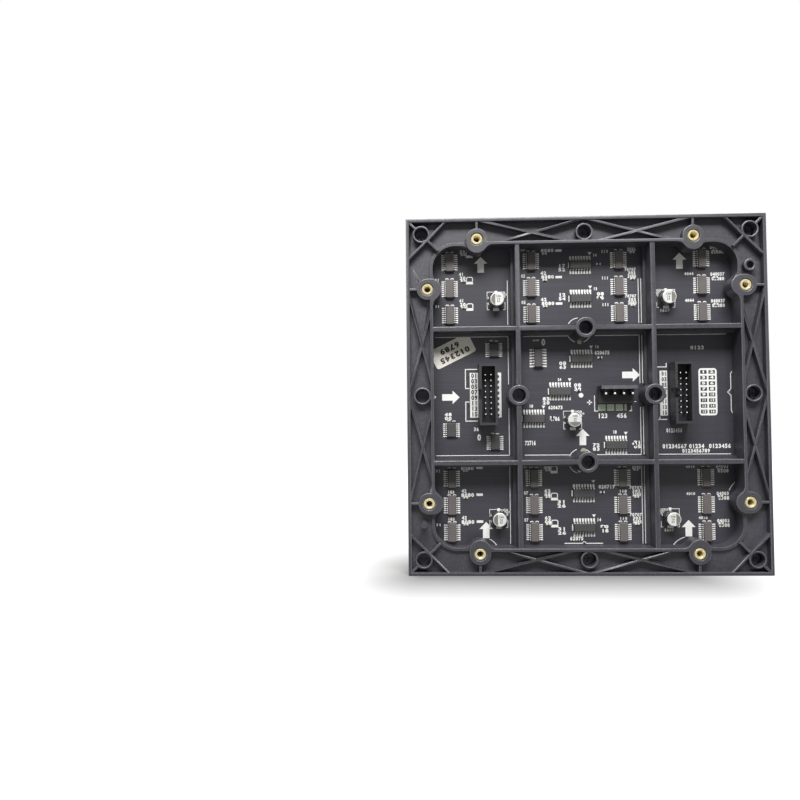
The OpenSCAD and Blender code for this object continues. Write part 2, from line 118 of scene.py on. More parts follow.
def tree(name):
    """A new material with its nodes, shader and object coordinates."""
    mat = bpy.data.materials.new(name)
    mat.use_nodes = True
    nt = mat.node_tree
    shader = nt.nodes["Principled BSDF"]
    return mat, nt, shader, add(nt, "TexCoord").outputs["Object"]


def feed(nt, socket, value):
    """Sets a socket, or links another to it."""
    if isinstance(value, bpy.types.NodeSocket):
        nt.links.new(value, socket)
    else:
        socket.default_value = value


def fill(nt, node, **inputs):
    """Feeds a node's inputs by their names, with _ for a space."""
    for name, value in inputs.items():
        feed(nt, node.inputs[name.replace("_", " ")], value)
    return node


def add(nt, kind, **inputs):
    """A new node of a kind, with its inputs fed."""
    return fill(nt, nt.nodes.new("ShaderNode" + kind), **inputs)


def noise(nt, vector, scale, detail, stretch=None):
    """A noise texture's factor."""
    if stretch:
        vector = add(nt, "Mapping", Vector=vector, Scale=stretch).outputs["Vector"]
    return add(nt, "TexNoise", Vector=vector, Scale=scale, Detail=detail).outputs["Fac"]


def ramp(nt, factor, first, last, low=NOISE_LOW, high=NOISE_HIGH):
    """A colour from first to last, as a factor goes from low to high."""
    node = add(nt, "ValToRGB", Fac=factor)
    for stop, position, colour in zip(node.color_ramp.elements, (low, high), (first, last)):
        stop.position = position
        stop.color = colour
    return node.outputs["Color"]


def spread(nt, factor, low, high):
    """A texture's factor, spread from low to high."""
    span = {"From_Min": NOISE_LOW, "From_Max": NOISE_HIGH, "To_Min": low, "To_Max": high}
    return add(nt, "MapRange", Value=factor, **span).outputs["Result"]


def blend(nt, factor, a, b, mode="MIX"):
    """Two colours mixed by a factor."""
    node = add(nt, "Mix")
    node.data_type = "RGBA"
    node.blend_type = mode
    for index, value in ((0, factor), (6, a), (7, b)):
        feed(nt, node.inputs[index], value)
    return node.outputs[2]


def tinted(nt, a, b):
    """Two colours multiplied."""
    return blend(nt, 1.0, a, b, "MULTIPLY")


def bump(nt, height, strength, distance):
    """A normal roughened by a height, in metres at full strength."""
    return add(nt, "Bump", Strength=strength, Distance=distance, Height=height).outputs["Normal"]


def surface(name, dark, light, rough, grain, relief, metal=0.0, level=0.5, mottle=0.86):
    """A material that varies in fine grain and in wide patches."""
    mat, nt, shader, vector = tree(name)
    fine = noise(nt, vector, grain, detail=3)
    wide = noise(nt, vector, PATCHES, detail=2)
    tone = ramp(nt, wide, srgb(dark), srgb(light))
    speck = ramp(nt, fine, (mottle, mottle, mottle, 1), WHITE)
    fill(
        nt, shader, Base_Color=tinted(nt, tone, speck), Metallic=metal, Specular_IOR_Level=level,
        Roughness=spread(nt, fine, rough - GLOSSIER, rough + DULLER),
        Normal=bump(nt, fine, relief, GRAIN_H),
    )
    return mat


def board_look():
    """Dark solder mask with faint traces under it."""
    mat, nt, shader, vector = tree("solder_mask")
    wide = noise(nt, vector, scale=30, detail=2)
    runs = noise(nt, vector, scale=1, detail=2, stretch=(28, 1, 1500))
    climbs = noise(nt, vector, scale=1, detail=2, stretch=(1300, 1, 22))
    fine = noise(nt, vector, scale=5200, detail=2)
    tone = ramp(nt, wide, srgb("#33313a"), srgb("#3b3943"))
    along = ramp(nt, runs, (0.9, 0.9, 0.91, 1), (1.06, 1.06, 1.06, 1), low=0.46, high=0.54)
    across = ramp(nt, climbs, WHITE, (0.93, 0.93, 0.94, 1), low=0.54, high=0.6)
    fill(
        nt, shader, Base_Color=tinted(nt, tinted(nt, tone, along), across), Specular_IOR_Level=0.8,
        Roughness=spread(nt, fine, 0.42, 0.54), Normal=bump(nt, runs, 0.25, FILM_H),
    )
    return mat


def lens_look():
    """Milky resin over a white cup, a little yellow in places."""
    mat, nt, shader, vector = tree("led_lens")
    fine = noise(nt, vector, scale=900, detail=2)
    wide = noise(nt, vector, scale=25, detail=1)
    tone = ramp(nt, fine, srgb("#d9d4c6"), srgb("#efebe2"), low=0.35, high=0.65)
    tint = ramp(nt, wide, (0.95, 0.95, 0.96, 1), WHITE)
    fill(
        nt, shader, Base_Color=tinted(nt, tone, tint), Roughness=spread(nt, fine, 0.22, 0.34),
        Normal=bump(nt, fine, 0.2, FILM_H), Subsurface_Weight=0.15,
        Subsurface_Radius=(0.0004, 0.0004, 0.0003),
    )
    return mat


# Name, darker and lighter tone, roughness, noise scale of the grain, and relief
LOOKS = {
    "frame": surface("frame_plastic", "#3d3b43", "#47454f", 0.48, 1300, 0.45, level=1.0, mottle=0.58),
    # Painted highlight: a lighter plastic for the rounded crests of the frame and the top of the power
    # header's back wall
    "painted_highlight": surface("painted_highlight", "#5e5c64", "#6c6a73", 0.44, 1300, 0.3, level=1.0, mottle=0.68),
    "board": board_look(),
    "ink": surface("marking_ink", "#f2f2f0", "#fafaf8", 0.55, 4200, 0.1),
    "dark_ink": surface("dark_ink", "#2a2a2e", "#3a3a3e", 0.6, 4200, 0.1),
    "resin": surface("chip_resin", "#686262", "#756f6e", 0.6, 5200, 0.35, level=0.4),
    "dark_resin": surface("chip_dark_resin", "#4c4a4c", "#585557", 0.55, 5200, 0.35, level=0.4),
    "tin": surface("tinned_metal", "#f6f6f2", "#ffffff", 0.38, 3000, 0.12, metal=0.1),
    # Painted shade: a darker tin for the leads' faces that don't tilt up
    "tin_painted_shade": surface("tin_painted_shade", "#74746f", "#8a8a85", 0.42, 3000, 0.12, metal=0.4),
    "solder": surface("solder", "#c8d6bc", "#dbe6d0", 0.38, 1500, 0.4, metal=0.2),
    "brass": surface("brass", "#f3e2a8", "#fcf2d0", 0.3, 900, 0.04, metal=0.45),
    "steel": surface("screw_steel", "#4c4c54", "#5c5c64", 0.42, 2200, 0.2, metal=0.5),
    "can": surface("can_aluminium", "#eeeeec", "#fafaf8", 0.34, 2600, 0.12, metal=0.25),
    # Painted shade: a darker, more mirror-like metal for the cans' sides; the extra darkness is painted
    # shade
    "can_side_painted_shade": surface("can_side_painted_shade", "#b4b4b0", "#cacac6", 0.28, 2600, 0.12, metal=0.95),
    "can_print": surface("can_print", "#7a756e", "#8a857d", 0.5, 4200, 0.1),
    "black": surface("connector_plastic", "#38373c", "#434247", 0.5, 2400, 0.2, level=0.4),
    "gold": surface("pin_gold", "#f8f8f2", "#ffffff", 0.32, 2000, 0.1, metal=0.1),
    # Painted shade: the pins below their bright tips
    "shaft": surface("pin_shaft_painted_shade", "#3c3830", "#4c473c", 0.4, 2000, 0.1, metal=0.5),
    "pad": surface("pad_finish", "#aeaa97", "#c2beac", 0.35, 1800, 0.3, metal=0.2),
    "ceramic": surface("chip_ceramic", "#a89c8c", "#bcb09e", 0.45, 3200, 0.15),
    "resistor": surface("resistor_glass", "#1c1c20", "#28282c", 0.3, 3200, 0.1),
    "paper": surface("label_paper", "#faf3ea", "#fffaf3", 0.62, 2400, 0.25),
    "print": surface("label_print", "#3a2c24", "#4c3c30", 0.6, 2400, 0.1),
    "led": surface("led_body", "#3a3733", "#47433d", 0.5, 2600, 0.2),
    "lens": lens_look(),
}


# Mesh helpers, in millimetres

# Edges that turn by more than this many degrees are sharp
SHARP = 40.0


def piece(name, bm, looks, slot, *replaced, smooth=35.0):
    """Turns a mesh drawn on the board into a piece of the part."""
    bmesh.ops.recalc_face_normals(bm, faces=bm.faces[:])
    bm.transform(TO_PART)
    mesh = bpy.data.meshes.new(name)
    bm.to_mesh(mesh)
    bm.free()
    join(name, mesh, looks, replaced, smooth)


def put(name, data):
    """A new object in the scene."""
    obj = bpy.data.objects.new(name, data)
    scene.collection.objects.link(obj)
    return obj


def join(name, mesh, looks, replaced, smooth):
    """Adds a mesh to the part, with its materials and what it stands for."""
    mesh.shade_smooth()
    mesh.set_sharp_from_angle(angle=radians(smooth))
    for look in looks:
        mesh.materials.append(LOOKS[look])
    obj = put(name, mesh)
    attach(obj, "root")
    if replaced:
        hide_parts(*replaced)


def keep(node, look):
    """Leaves a CAD node as it is, with a better material."""
    nodes[node].data.materials.clear()
    nodes[node].data.materials.append(LOOKS[look])


def split_looks(faces, level, above, below):
    """Gives faces one material above a level, and another below it."""
    for face in faces:
        face.material_index = above if face.calc_center_median().z > level else below


def spun(u, v, x, y, turn):
    """A point at x and y from u and v, turned around them in degrees."""
    c = cos(radians(turn))
    s = sin(radians(turn))
    return u + x * c - y * s, v + x * s + y * c


def circle(count, shift=0.0):
    """Angles spread evenly around a circle, in radians."""
    return [2 * pi * (i + shift) / count for i in range(count)]


def arc(u, v, r, start, end, steps=12):
    """Points along a circle, from one angle to another in degrees."""
    turns = [radians(start + (end - start) * i / steps) for i in range(steps + 1)]
    return [(u + r * cos(a), v + r * sin(a)) for a in turns]


def rounded(w, h, r, steps=3):
    """Points around a rectangle with round corners."""
    points = []
    for k, (su, sv) in enumerate(((1, 1), (-1, 1), (-1, -1), (1, -1))):
        for i in range(steps + 1):
            a = radians(90 * k + 90 * i / steps)
            points.append((su * (w / 2 - r) + r * cos(a), sv * (h / 2 - r) + r * sin(a)))
    return points


def flat_ring(u0, u1, v, half, level):
    """Corners of a flat rectangle from u0 to u1, around v."""
    return [(u0, v - half, level), (u1, v - half, level), (u1, v + half, level), (u0, v + half, level)]


def strip(path, width):
    """Outline of a path with a width, mitred at its bends."""
    left = []
    right = []
    for i, p in enumerate(path):
        before = Vector(path[max(i - 1, 0)])
        after = Vector(path[min(i + 1, len(path) - 1)])
        here = Vector(p)
        a = (here - before).normalized() if i else (after - here).normalized()
        b = (after - here).normalized() if i < len(path) - 1 else a
        way = (a + b).normalized()
        side = Vector((-way.y, way.x)) * width / 2 / max(way.dot(a), 0.4)
        left.append(tuple(here + side))
        right.append(tuple(here - side))
    return left + right[::-1]


def loft(bm, rings, closed=False):
    """Skins rings of points; the ends are capped, or joined where closed."""
    rows = [[bm.verts.new(p) for p in ring] for ring in rings]
    count = len(rows[0])
    pairs = list(zip(rows, rows[1:]))
    if closed:
        pairs.append((rows[-1], rows[0]))
    for a, b in pairs:
        for i in range(count):
            j = (i + 1) % count
            bm.faces.new((a[i], a[j], b[j], b[i]))
    if not closed:
        bm.faces.new(rows[0][::-1])
        bm.faces.new(rows[-1])


def prism(bm, outline, low, high):
    """A flat outline, raised from low to high."""
    loft(bm, [[(u, v, w) for u, v in outline] for w in (low, high)])


def block(bm, u, v, w, h, low, high, edge, corner=0.0):
    """A box with rounded edges, around u and v."""
    r = max(corner, edge)
    rings = []
    for inset, level in ((edge, low), (0, low + edge), (0, high - edge), (edge, high)):
        size = rounded(w - 2 * inset, h - 2 * inset, max(r - inset, 0.02))
        rings.append([(u + a, v + b, level) for a, b in size])
    loft(bm, rings)


def turned(bm, u, v, profile, count, closed=False):
    """A round shape from a profile of (radius, height)."""
    turns = circle(count)
    loft(bm, [[(u + r * cos(a), v + r * sin(a), w) for a in turns] for r, w in profile], closed)


def soften(bm, width):
    """Rounds every sharp edge of a mesh."""
    sharp = [e for e in bm.edges if len(e.link_faces) == 2 and e.calc_face_angle(0.0) > radians(SHARP)]
    bmesh.ops.bevel(
        bm, geom=sharp, offset=width, segments=2, profile=0.5, affect="EDGES", clamp_overlap=True
    )


# Numerals of the built-in font, in units of their size
GLYPHS = {}
GLYPH_W = 0.62
GLYPH_H = 0.72
GLYPH_BOLD = 0.05
GLYPH_HALF_T = 0.5


def glyph(letter):
    """Points and faces of one solid numeral, in units of its size."""
    if letter not in GLYPHS:
        curve = bpy.data.curves.new("numeral", "FONT")
        curve.body = letter
        curve.align_x = "CENTER"
        curve.align_y = "CENTER"
        curve.resolution_u = 2
        curve.offset = GLYPH_BOLD
        curve.extrude = GLYPH_HALF_T
        carrier = put("numeral", curve)
        bpy.context.view_layer.update()
        mesh = carrier.to_mesh()
        points = [tuple(v.co) for v in mesh.vertices]
        GLYPHS[letter] = points, [tuple(p.vertices) for p in mesh.polygons]
        carrier.to_mesh_clear()
        bpy.data.objects.remove(carrier)
        bpy.data.curves.remove(curve)
    return GLYPHS[letter]


def numerals(bm, text, u, v, width, height, level=0.0, turn=0.0):
    """A row of raised numerals that fills a box around u and v."""
    across = width / len(text) / GLYPH_W
    up = height / GLYPH_H
    for k, letter in enumerate(text):
        points, faces = glyph(letter)
        shift = (k - (len(text) - 1) / 2) * GLYPH_W
        verts = []
        for x, y, z in points:
            spot = spun(u, v, (x + shift) * across, y * up, turn)
            verts.append(bm.verts.new((*spot, level + (z + GLYPH_HALF_T) * INK)))
        for face in faces:
            bm.faces.new([verts[i] for i in face])


# Rear frame: the moulded shape with rounded crests, which catch the light and are also given a lighter
# material as a painted highlight

# Levels between which crests lie, and how wide they are rounded; the rounds get a lighter material, a
# painted highlight
CRESTS = ((-3.0, -1.0, 0.12), (-1.0, 1.0, 0.28))
# Points nearer than this, and faces at less than this many degrees, become one
WELD = 0.06
FLAT = 1.5


def is_crest(edge, low, high):
    """True for an outer edge between a rear face and a wall, from low to high."""
    if len(edge.link_faces) != 2 or not edge.is_convex:
        return False
    tilts = sorted(face.normal.y for face in edge.link_faces)
    level = edge.verts[0].co.y / MM
    return tilts[1] > 0.95 and abs(tilts[0]) < 0.3 and low < level < high


def rear_frame():
    bm = bmesh.new()
    bm.from_mesh(nodes["rear_frame"].data)
    bmesh.ops.remove_doubles(bm, verts=bm.verts[:], dist=WELD * MM)
    bmesh.ops.dissolve_limit(bm, angle_limit=radians(FLAT), verts=bm.verts[:], edges=bm.edges[:])
    for low, high, width in CRESTS:
        bm.normal_update()
        crests = [e for e in bm.edges if is_crest(e, low, high)]
        bmesh.ops.bevel(
            bm, geom=crests, offset=width * MM, segments=2, profile=0.5, affect="EDGES",
            clamp_overlap=False, material=1
        )
    mesh = bpy.data.meshes.new("rear_frame_moulding")
    bm.to_mesh(mesh)
    bm.free()
    join("rear_frame_moulding", mesh, ["frame", "painted_highlight"], ["rear_frame"], 25.0)


# LED matrix: black packages with a white cup in each, in four blocks

LED_COUNT = 64
LED_PITCH = 2.5
LED_W = 2.1
LED_H = 1.8
LED_CHAMFER = 0.08
LED_FRONT = -BOARD_T - LED_H
CUP_R = 0.82
CUP_DEPTH = 0.25
CUP_SIDES = 16
CUP_TURNS = circle(CUP_SIDES, 0.5)
CUP_RIM = [(CUP_R * cos(a), CUP_R * sin(a), LED_FRONT) for a in CUP_TURNS]


def led_body():
    """Points and faces of a package, open at its cup."""
    side = LED_W / 2
    square = [(-side, -side), (side, -side), (side, side), (-side, side)]
    shrink = 1 - LED_CHAMFER / side
    points = [(u, v, -BOARD_T) for u, v in square]
    points += [(u, v, LED_FRONT + LED_CHAMFER) for u, v in square]
    front = len(points)
    points += [(u * shrink, v * shrink, LED_FRONT) for u, v in square]
    rim = len(points)
    points += CUP_RIM
    faces = []
    for ring in (0, 4):
        for i in range(4):
            j = (i + 1) % 4
            faces.append((ring + i, ring + 4 + i, ring + 4 + j, ring + j))
    for i in range(CUP_SIDES):
        j = (i + 1) % CUP_SIDES
        quarter = i // (CUP_SIDES // 4)
        corner = front + (quarter + 2) % 4
        faces.append((rim + i, rim + j, corner))
        if (i + 1) % (CUP_SIDES // 4) == 0:
            faces.append((rim + j, front + (quarter + 3) % 4, corner))
    return points, faces


def led_lens():
    """Points and faces of the resin in a cup."""
    inner = 0.9 * CUP_R
    deep = LED_FRONT + CUP_DEPTH
    points = CUP_RIM + [(inner * cos(a), inner * sin(a), deep) for a in CUP_TURNS]
    points.append((0, 0, LED_FRONT + CUP_DEPTH * 0.7))
    faces = []
    for i in range(CUP_SIDES):
        j = (i + 1) % CUP_SIDES
        faces.append((i, j, CUP_SIDES + j, CUP_SIDES + i))
        faces.append((CUP_SIDES + i, CUP_SIDES + j, 2 * CUP_SIDES))
    return points, faces


def led_block(number, columns, rows):
    middle = (LED_COUNT - 1) / 2
    spots = [((c - middle) * LED_PITCH, (r - middle) * LED_PITCH, 0) for r in rows for c in columns]
    centres = np.array(spots)
    for kind, (points, faces), look in (("bodies", led_body(), "led"), ("lenses", led_lens(), "lens")):
        verts = (centres[:, None, :] + np.array(points)[None, :, :]).reshape(-1, 3)
        loops = []
        for n in range(len(centres)):
            base = n * len(points)
            loops.extend(tuple(base + i for i in face) for face in faces)
        mesh = bpy.data.meshes.new(f"led_{kind}_{number}")
        mesh.from_pydata([tuple(p) for p in verts], [], loops)
        mesh.transform(TO_PART)
        join(f"led_{kind}_{number}", mesh, [look], ["led_rows"], 25.0)


# Chips: moulded bodies with a dimple at the first lead, and bent leads in their solder

STAND_OFF = 0.12
DRAFT = 0.28
CHIP_EDGE = 0.07
CHIP_CORNER = 0.08
PARTING = 0.04
DIMPLE_R = 0.36
DIMPLE_IN = 0.85
DIMPLE_DEPTH = 0.07
DIMPLE_SIDES = 20
LEAD_T = 0.2
LEAD_FILL = 0.5
LEAD_REACH = 1.05
LEAD_BEND = 0.2
# Faces of the leads that tilt up more than this are bright; the others get a darker tin as painted shade
BRIGHT_TILT = 0.75


def chip_body(w, l, h):
    bm = bmesh.new()
    middle = (h + STAND_OFF) / 2
    rings = []
    for inset, level in (
        (DRAFT, STAND_OFF), (0, middle - PARTING), (0, middle + PARTING), (DRAFT, h - CHIP_EDGE),
        (DRAFT + CHIP_EDGE, h),
    ):
        size = rounded(w - 2 * inset, l - 2 * inset, CHIP_CORNER, 2)
        rings.append([(a, b, level) for a, b in size])
    loft(bm, rings)
    dimple(bm, Vector((-w / 2 + DRAFT + DIMPLE_IN, l / 2 - DRAFT - DIMPLE_IN, h)))
    return bm


def dimple(bm, centre):
    """Sinks a round dimple into the top of a chip's body."""
    top = max(bm.faces, key=lambda f: f.calc_center_median().z)
    rim = list(top.verts)
    bm.faces.remove(top)
    rings = []
    for r, depth in ((DIMPLE_R, 0.0), (0.8 * DIMPLE_R, DIMPLE_DEPTH)):
        spots = [Vector((r * cos(a), r * sin(a), -depth)) for a in circle(DIMPLE_SIDES)]
        rings.append([bm.verts.new(centre + spot) for spot in spots])
    lip, low = rings
    edges = []
    for ring in (rim, lip):
        for i, vert in enumerate(ring):
            pair = (vert, ring[(i + 1) % len(ring)])
            edges.append(bm.edges.get(pair) or bm.edges.new(pair))
    bmesh.ops.triangle_fill(bm, use_beauty=True, edges=edges)
    for i in range(DIMPLE_SIDES):
        j = (i + 1) % DIMPLE_SIDES
        bm.faces.new((lip[i], lip[j], low[j], low[i]))
    bm.faces.new(low)


def lead_path(side, middle, foot):
    """Middle of a lead, from inside the body to its tip."""
    bend = side + 0.34 * LEAD_REACH
    r = LEAD_BEND
    sole = LEAD_T / 2
    return [
        (side - 0.2, middle), (bend - r, middle), (bend - 0.3 * r, middle - 0.12 * r),
        (bend, middle - r), (foot - 0.2 * r, sole + r), (foot + 0.2 * r, sole + 0.25 * r),
        (foot + r, sole), (side + LEAD_REACH, sole),
    ]


def chip_leads(leads, pitch, w, h, pad):
    """Two rows of bent leads, in the solder on their pads."""
    bm = bmesh.new()
    side = w / 2
    foot = side + 0.5 * LEAD_REACH
    profile = strip(lead_path(side, (h + STAND_OFF) / 2, foot), LEAD_T)
    half = pitch * LEAD_FILL / 2
    solder_half = half + min(0.1, pitch * 0.1)
    heel = foot - 0.08
    tip = side + LEAD_REACH + pad
    # How far the solder draws in, and at which levels
    slope = ((0.0, 0.0), (0.03, 0.05), (0.6 * pad, LEAD_T * 0.5), (0.85 * pad, LEAD_T * 1.08))
    for s in (-1, 1):
        for k in range(leads):
            v = (k - (leads - 1) / 2) * pitch
            loft(bm, [[(s * x, v + y, z) for x, z in profile] for y in (-half, half)])
            loft(bm, [
                flat_ring(s * (heel + inset * 0.2), s * (tip - inset), v, solder_half - inset * 0.1, level)
                for inset, level in slope
            ])
    bmesh.ops.recalc_face_normals(bm, faces=bm.faces[:])
    # Faces that don't tilt up get the darker tin, as painted shade
    for face in bm.faces:
        face.material_index = 0 if face.normal.z > BRIGHT_TILT else 1
    return bm


def chip(node, look, leads, pitch, end, w, h, pad, turn=0.0):
    """A chip with two rows of leads, and room at its ends."""
    u, v = place(node)
    spot = Matrix.Translation((u, v, 0)) @ Matrix.Rotation(radians(turn), 4, "Z")
    body = chip_body(w, (leads - 1) * pitch + 2 * end, h)
    body.transform(spot)
    piece(f"{node}_body", body, [look], "chip_resin", node)
    wires = chip_leads(leads, pitch, w, h, pad)
    wires.transform(spot)
    piece(f"{node}_leads", wires, ["tin", "tin_painted_shade"], "tin", node)


# Capacitors: cans with a rolled waist and a printed sector, on a black base with two terminals

CAN_R = 3.15
CAN_TOP = 5.6
CAN_SIDES = 48
BASE_HALF = 3.3
BASE_CUT = 1.2
# Half angle of the printed sector, and the way it faces on each can, in degrees
SECTOR = 71
SECTOR_FACES = {1: 180.0, 2: 0.0, 3: 270.0, 4: 180.0, 5: 0.0}
CAN_NUMBERS = ("100", "16", "25")


def can(node, u, v):
    r = CAN_R
    top = CAN_TOP
    profile = (
        (r - 0.1, 0.95), (r, 1.05), (r, 1.65), (r - 0.08, 1.74), (r - 0.25, 1.95), (r - 0.08, 2.16),
        (r, 2.25), (r, top - 0.4), (r - 0.05, top - 0.2), (r - 0.18, top - 0.06), (r - 0.4, top),
        (r - 0.55, top - 0.02),
    )
    bm = bmesh.new()
    turned(bm, u, v, profile, CAN_SIDES)
    # The sides below the top's rim get the darker metal, as painted shade
    split_looks(bm.faces, top - 0.3, above=0, below=1)
    piece(f"{node}_can", bm, ["can", "can_side_painted_shade"], "can_aluminium", node)


def can_base(node, u, v):
    b = BASE_HALF
    c = BASE_HALF - BASE_CUT
    bm = bmesh.new()
    outline = [(-b, -b), (b, -b), (b, c), (c, b), (-c, b), (-b, c)]
    prism(bm, [(u + x, v + y) for x, y in outline], 0.15, 1.0)
    soften(bm, 0.12)
    piece(f"{node}_base", bm, ["black"], "connector_plastic", node)


def can_terminals(node, u, v):
    bm = bmesh.new()
    for s in (-1, 1):
        block(bm, u, v + s * 3.2, w=0.9, h=1.6, low=0.02, high=0.17, edge=0.03)
        block(bm, u, v + s * 3.9, w=1.9 - 0.7 * s, h=1.5, low=0.005, high=0.09, edge=0.03)
    piece(f"{node}_terminals", bm, ["tin"], "tin", node)


def can_print(node, u, v, facing):
    bm = bmesh.new()
    sector = arc(u, v, CAN_R - 0.45, facing - SECTOR, facing + SECTOR, 20)
    prism(bm, sector, CAN_TOP - 0.03, CAN_TOP + 0.012)
    away = radians(facing + 180)
    column = u + 0.55 * cos(away)
    middle = v + 0.55 * sin(away)
    for k, text in enumerate(CAN_NUMBERS):
        numerals(bm, text, column, middle + (1 - k) * 1.15, 0.75 * len(text), 0.85, CAN_TOP - 0.01)
    piece(f"{node}_print", bm, ["can_print"], "can_aluminium", node)


def capacitor(number):
    node = f"capacitor_{number}"
    u, v = place(node)
    can(node, u, v)
    can_base(node, u, v)
    can_terminals(node, u, v)
    can_print(node, u, v, SECTOR_FACES[number])


# Signal headers: open shrouds with a key slot, and pins with pointed tips

SHROUD_W = 8.2
SHROUD_L = 27.6
SHROUD_H = 8.9
SHROUD_T = 1.1
SHROUD_BASE = 2.4
KEY_W = 4.5
PIN_W = 0.64
PIN_H = 7.4
# How far down the tip of a pin is bright; below it the pin is darkened as painted shade
BRIGHT_TIP = 0.16


def pin(bm, u, v, w, h):
    """A square pin through the board, with a bright tapered tip on a shaft darkened as painted shade."""
    rings = []
    for share, level in ((0.6, -BOARD_T), (1, 0.25 - BOARD_T), (1, h - 0.45), (0.8, h - 0.15), (0.5, h)):
        s = w * share / 2
        rings.append(flat_ring(u - s, u + s, v, s, level))
    before = len(bm.faces)
    loft(bm, rings)
    bm.faces.ensure_lookup_table()
    split_looks(bm.faces[before:], h - BRIGHT_TIP, above=0, below=1)


def signal_header(kind):
    node = f"{kind}_header_shroud"
    u, v = place(node)
    a = SHROUD_W / 2
    b = SHROUD_L / 2
    t = SHROUD_T
    key = KEY_W / 2
    outline = [
        (-a, key), (-a, b), (a, b), (a, -b), (-a, -b), (-a, -key),
        (-a + t, -key), (-a + t, -b + t), (a - t, -b + t), (a - t, b - t), (-a + t, b - t), (-a + t, key),
    ]
    shroud = bmesh.new()
    prism(shroud, [(u + x, v + y) for x, y in outline], 0.05, SHROUD_H)
    soften(shroud, 0.16)
    block(shroud, u, v, SHROUD_W - 0.2, SHROUD_L - 0.2, low=0.0, high=SHROUD_BASE, edge=0.08)
    first_pin = [(u - a - 0.05, v + b - 3.6), (u - a + 0.35, v + b - 3.0), (u - a + 0.35, v + b - 4.2)]
    prism(shroud, first_pin, SHROUD_H - 2.6, SHROUD_H - 0.2)
    piece(f"{node}_shell", shroud, ["black"], "connector_plastic", node)
    pins = bmesh.new()
    for r in (-0.5, 0.5):
        for k in range(PIN_ROWS):
            pin(pins, u + r * PIN_PITCH, v + (k - (PIN_ROWS - 1) / 2) * PIN_PITCH, PIN_W, PIN_H)
    piece(f"{kind}_header_pins_shaped", pins, ["gold", "shaft"], "pin_gold", f"{kind}_header_pins")


# Power header: an open housing with a high back wall, and four tapered pins

HOUSING_D = 7.8
HOUSING_BACK = 3.6
SEAT = 3.2
WALL_H = 8.8
WALL_T = 1.6
POWER_PIN_W = 1.14
POWER_PIN_H = 8.4
POWER_COLUMNS = [POWER_AT[0] + (k - (POWER_PINS - 1) / 2) * POWER_PITCH for k in range(POWER_PINS)]


def power_header():
    node = "power_header_housing"
    u, v = POWER_AT
    w = POWER_PINS * POWER_PITCH
    back = v + HOUSING_BACK
    front = back - HOUSING_D
    wall = back - WALL_T
    side = [(front, 0.0), (back, 0.0), (back, WALL_H), (wall, WALL_H), (wall, SEAT), (front, SEAT)]
    bm = bmesh.new()
    loft(bm, [[(u + s * w / 2, y, z) for y, z in side] for s in (-1, 1)])
    soften(bm, 0.18)
    # The back wall's top gets the lighter plastic, a painted highlight
    split_looks(bm.faces, WALL_H - 0.05, above=1, below=0)
    for x in POWER_COLUMNS:
        block(bm, x, back - 2.0, w=1.5, h=0.7, low=3.0, high=8.2, edge=0.15)
        block(bm, x, front + 0.2, w=2.2, h=0.6, low=0.3, high=3.0, edge=0.12)
        for s in (-1, 1):
            block(bm, x + s * 1.05, v, w=0.5, h=2.4, low=3.0, high=3.45, edge=0.1)
    piece(f"{node}_shell", bm, ["black", "painted_highlight"], "connector_plastic", node)
    pins = bmesh.new()
    for x in POWER_COLUMNS:
        pin(pins, x, v, POWER_PIN_W, POWER_PIN_H)
    piece("power_header_pins_shaped", pins, ["gold", "shaft"], "pin_gold", "power_header_pins")


# Threaded inserts: sunk brass sleeves with a groove around the top and a thread

INSERT_ALONG = 48.0
INSERT_AT = 70.4
INSERT_R = 2.8
INSERT_L = 7.0
INSERT_SUNK = 0.1
INSERT_SIDES = 40
GROOVE = 0.35
BORE_R = 1.35
THREAD_PITCH = 0.45


def insert_profile():
    """Half section of an insert, up its outside and down its thread."""
    top = FRAME_H
    low = top - INSERT_L
    r = INSERT_R
    profile = [
        (BORE_R, low), (r - 0.2, low), (r, low + 0.2), (r, top - 1.2), (r - GROOVE, top - 1.1),
        (r - GROOVE, top - 0.25), (r - 0.5, top - INSERT_SUNK), (BORE_R + 0.3, top - INSERT_SUNK),
        (BORE_R + 0.2, top - 0.16),
    ]
    level = top - 0.4
    profile.append((BORE_R + 0.12, level))
    while level > low + 0.4:
        profile += [(BORE_R, level - 0.12), (BORE_R, level - 0.2), (BORE_R + 0.17, level - 0.33)]
        level -= THREAD_PITCH
    return profile


def inserts():
    bm = bmesh.new()
    for a, b in ((INSERT_ALONG, INSERT_AT), (INSERT_AT, INSERT_ALONG)):
        for s in (-1, 1):
            for t in (-1, 1):
                turned(bm, s * a, t * b, insert_profile(), INSERT_SIDES, True)
    piece("threaded_inserts_turned", bm, ["brass"], "insert_brass", "threaded_inserts", smooth=28.0)


# Chip parts: ceramic bodies between tinned ends, in their solder

# How far the solder of an end draws in, and at which levels
END_SLOPE = ((0.0, 0.005), (0.03, 0.05), (0.16, 0.2), (0.24, 0.42))


def chip_parts(node, spots, look, slot):
    bodies = bmesh.new()
    ends = bmesh.new()
    for u, v in spots:
        block(bodies, u, v, w=0.94, h=0.78, low=0.04, high=0.56, edge=0.05)
        for s in (-1, 1):
            block(ends, u + s * 0.6, v, w=0.4, h=0.8, low=0.02, high=0.6, edge=0.06)
            loft(ends, [
                flat_ring(u + s * 0.5, u + s * (1.12 - inset), v, 0.55 - inset * 0.6, level)
                for inset, level in END_SLOPE
            ])
    piece(f"{node}_bodies", bodies, [look], slot, node)
    piece(f"{node}_ends", ends, ["tin"], "tin", node)


# Label: a paper sticker whose free corner lifts a little, with printed numbers

LABEL_AT = (-59.0, 21.0)
LABEL_TURN = 26.0
LABEL_W = 20.0
LABEL_H = 9.4
LABEL_R = 1.2
LABEL_T = 0.1
LABEL_GAP = 0.03
# Where the opening's wall and a rib end the label
LABEL_WALL = -67.7
LABEL_RIB = 27.6
